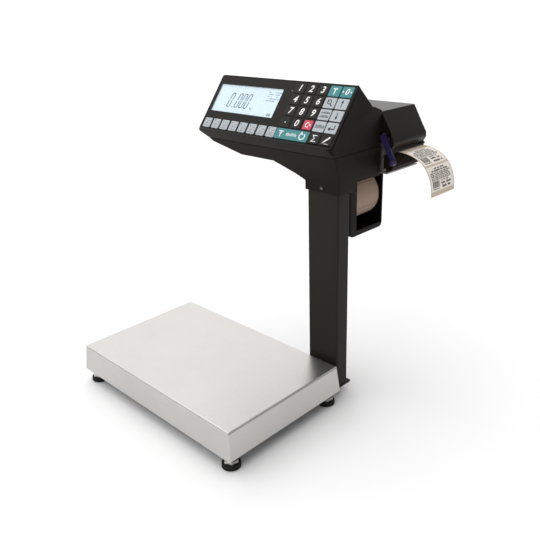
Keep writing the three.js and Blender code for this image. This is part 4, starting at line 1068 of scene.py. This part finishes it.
def smooth_path(points):
    """A Catmull-Rom curve through the points."""
    steps = 12
    padded = [2 * points[0] - points[1]] + points + [2 * points[-1] - points[-2]]
    path = []
    for a, b, c, d in zip(padded, padded[1:], padded[2:], padded[3:]):
        for step in range(steps):
            t = step / steps
            path.append(0.5 * (2 * b + (c - a) * t + (2 * a - 5 * b + 4 * c - d) * t ** 2
                               + (3 * b - a - 3 * c + d) * t ** 3))
    return path + [points[-1]]


web = middles[:5] + smooth_path(middles[5:])
distances = [0.0]
for a, b in zip(web, web[1:]):
    distances.append(distances[-1] + (b - a).length)
strip_length = distances[-1]


def on_strip(distance, y, height):
    """A point at a distance along the strip, across it, and above its middle."""
    index = next((i for i, d in enumerate(distances[1:]) if d >= distance), len(web) - 2)
    a, b = web[index], web[index + 1]
    share = (distance - distances[index]) / max(distances[index + 1] - distances[index], 1e-9)
    along = (b - a).normalized()
    here = a.lerp(b, share)
    return (here.x - along.y * height, y, here.y + along.x * height)


def strip_patch(bm, start, end, near, far, low, high, slot, steps=1, corner=0.0):
    """A thin layer on the strip between two distances along it and two edges across it."""
    rings = []
    stops = [start + (end - start) * i / steps for i in range(steps + 1)]
    if corner:
        stops = sorted(set(stops + [edge + sign * corner * share for edge,
                                    sign in ((start, 1), (end, -1))
                                    for share in (0.1, 0.3, 0.6, 1.0)]))
    for stop in stops:
        depth = max(corner - min(stop - start, end - stop), 0.0)
        pull = corner - math.sqrt(max(corner ** 2 - depth ** 2, 0.0)) if corner else 0.0
        rings.append([on_strip(stop, near + pull, low), on_strip(stop, near + pull, high),
                      on_strip(stop, far - pull, high), on_strip(stop, far - pull, low)])
    closed_rings(bm, rings, slot)


bm = bmesh.new()
rings = []
for point in distances:
    rings.append([on_strip(point, y, height) for y, height in (
        (strip_low.y, -liner_half), (strip_low.y, liner_half), (strip_high.y, liner_half),
        (strip_high.y, -liner_half))])
closed_rings(bm, rings, 0)
printed = random.Random(21)
label_near, label_far = strip_low.y + 2 * mm, strip_high.y - 2 * mm
ink_base, ink_top = label_top - 0.03 * mm, label_top + 0.03 * mm


def printed_row(start, height, near, far, letter, space):
    """A row of small blocks that stands for a line of print."""
    y = near
    while y < far - letter:
        length = printed.randint(3, 9)
        for _ in range(length):
            wide = letter * printed.uniform(0.6, 1.0)
            if y + wide > far:
                break
            rise = height * printed.choice((0.72, 0.72, 1.0))
            strip_patch(bm, start + height - rise, start + height, y, y + wide, ink_base, ink_top,
                        2)
            y += wide + 0.28 * mm
        y += space


for number in range(2):
    end = strip_length - strip_tail - number * (label_length + label_gap)
    start = end - label_length
    strip_patch(bm, start, end, label_near, label_far, liner_half * 0.5, label_top, 1, 40, 2 * mm)
    middle = (label_near + label_far) / 2
    printed_row(start + 2.2 * mm, 2.2 * mm, middle - 12 * mm, middle + 13 * mm, 1.5 * mm, 1.2 * mm)
    printed_row(start + 5.2 * mm, 2.5 * mm, middle - 20 * mm, middle + 20 * mm, 1.8 * mm, 1.3 * mm)
    for row in range(5):
        printed_row(start + (8.6 + 2.25 * row) * mm, 1.75 * mm, label_near + 3 * mm,
                    label_far - printed.uniform(3, 9) * mm, 1.15 * mm, 0.9 * mm)
    y = label_near + 4 * mm
    while y < label_near + 20 * mm:
        bar = printed.choice((0.5, 0.7, 1.0, 1.4)) * mm
        strip_patch(bm, start + 20.4 * mm, start + 29.2 * mm, y, y + bar, ink_base, ink_top, 2, 5)
        y += bar + printed.choice((0.35, 0.5, 0.7)) * mm
    printed_row(start + 30 * mm, 1.7 * mm, label_near + 4 * mm, label_near + 20 * mm, 1.1 * mm,
                0.5 * mm)
    printed_row(start + 20.2 * mm, 2.0 * mm, label_near + 25 * mm, label_far - 12 * mm, 1.3 * mm,
                2.0 * mm)
    printed_row(start + 23.6 * mm, 3.0 * mm, label_near + 25 * mm, label_far - 7 * mm, 1.9 * mm,
                2.4 * mm)
    printed_row(start + 28 * mm, 3.6 * mm, label_near + 27 * mm, label_far - 5 * mm, 2.2 * mm,
                2.8 * mm)
bmesh.ops.recalc_face_normals(bm, faces=bm.faces)
make_piece("printed_labels", bm, [liner, label_white, thermal_ink], "frame", ["label_strip"],
           40)

# ---- Power inlet
# A black socket for the power supply's plug is snapped into the case's rear wall. It has a bright
# pin in the middle of its bore.
inlet_low, inlet_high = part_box("power_inlet")
softened("inlet_housing", "power_inlet", 0.4 * mm, case_plastic)
inlet_x, inlet_z = (inlet_low.x + inlet_high.x) / 2, (inlet_low.z + inlet_high.z) / 2
pin_radius = 1 * mm
pin_front = inlet_high.y - 3.5 * mm
bm = bmesh.new()
pin_rings = []
for radius, y in ((pin_radius, inlet_low.y + 3 * mm), (pin_radius, pin_front - 0.6 * mm),
                  (pin_radius * 0.5, pin_front)):
    pin_rings.append([(inlet_x + radius * math.cos(a), y, inlet_z + radius * math.sin(a))
                      for a in (2 * math.pi * i / 20 for i in range(20))])
closed_rings(bm, pin_rings)
bmesh.ops.recalc_face_normals(bm, faces=bm.faces)
make_piece("inlet_pin", bm, [chrome], "frame")

# ---- Studio
# A plain white floor under soft light from above and the left. The camera sees plain white where
# there is no floor, and the pieces see uneven air.
camera_offset = Vector((0.67975, -0.52944, 0.49541))  # from the middle of the platter's top
camera_azimuth = math.radians(45.32)
camera_elevation = math.radians(22.74)
camera_roll = math.radians(-1.98)
platter_middle = (platter_low + platter_high) / 2
camera_data = bpy.data.cameras.new("studio_camera")
camera_data.lens = 43.06
camera_data.sensor_width = 36
camera = bpy.data.objects.new("studio_camera", camera_data)
bpy.context.scene.collection.objects.link(camera)
bpy.context.scene.camera = camera
backward = Vector((math.sin(camera_azimuth) * math.cos(camera_elevation),
                   -math.cos(camera_azimuth) * math.cos(camera_elevation),
                   math.sin(camera_elevation)))
level = Vector((math.cos(camera_azimuth), math.sin(camera_azimuth), 0))
upward = backward.cross(level)
rolled_right = math.cos(camera_roll) * level + math.sin(camera_roll) * upward
rolled_up = math.cos(camera_roll) * upward - math.sin(camera_roll) * level
camera.matrix_world = Matrix.Translation(
    Vector((platter_middle.x, platter_middle.y, platter_high.z)) + camera_offset
) @ Matrix((rolled_right, rolled_up, backward)).transposed().to_4x4()

floor_white = finish("floor_white", (0.96, 0.96, 0.96, 1), 0.9, patch=2.0, uneven=0.01, streak=0.0,
                     spread=0.02,
                     bump=0.0, specular=0.0)
bm = bmesh.new()
bm.faces.new([bm.verts.new(point) for point in circle(0, 0, 0, 14, 96)])
floor_mesh = bpy.data.meshes.new("studio_floor")
bm.to_mesh(floor_mesh)
bm.free()
floor_mesh.materials.append(floor_white)
studio_floor = bpy.data.objects.new("studio_floor", floor_mesh)
bpy.context.scene.collection.objects.link(studio_floor)

# The air is a little brighter to the left, with a wide bright patch low down behind it, as a
# window would give.
window_side = Vector((-0.62, 0.66, 0.42)).normalized()
lit_side = Vector((-0.9, -0.3, 0.3)).normalized()
world = bpy.data.worlds.new("studio_air")
world.use_nodes = True
air = world.node_tree
backdrop = air.nodes["Background"]
backdrop.inputs["Color"].default_value = (1, 1, 1, 1)
backdrop.inputs["Strength"].default_value = 1.05
glow = air.nodes.new("ShaderNodeBackground")
direction = air.nodes.new("ShaderNodeTexCoord").outputs["Generated"]


def towards(side):
    """How squarely a direction of the air faces a side, from -1 to 1."""
    facing = air.nodes.new("ShaderNodeVectorMath")
    facing.operation = "DOT_PRODUCT"
    facing.inputs[1].default_value = side
    air.links.new(direction, facing.inputs[0])
    return facing.outputs["Value"]


patch = math_node(air, "POWER", math_node(air, "MAXIMUM", towards(window_side), 0.0), 4)
even = math_node(air, "MULTIPLY_ADD", towards(lit_side), 0.55, 0.76)
air.links.new(math_node(air, "MULTIPLY_ADD", patch, 0.72, even), glow.inputs["Strength"])
seen = air.nodes.new("ShaderNodeMixShader")
air.links.new(air.nodes.new("ShaderNodeLightPath").outputs["Is Camera Ray"], seen.inputs["Fac"])
air.links.new(glow.outputs[0], seen.inputs[1])
air.links.new(backdrop.outputs[0], seen.inputs[2])
air.links.new(seen.outputs[0], air.nodes["World Output"].inputs["Surface"])
bpy.context.scene.world = world

sky = bpy.data.lights.new("overhead", "SUN")
sky.energy = 1.15
sky.angle = math.radians(80)
overhead = bpy.data.objects.new("overhead", sky)
bpy.context.scene.collection.objects.link(overhead)
overhead.matrix_world = Vector((-0.2, -0.2, 1)).to_track_quat("Z", "Y").to_matrix().to_4x4()
bpy.context.scene.view_settings.view_transform = "Standard"
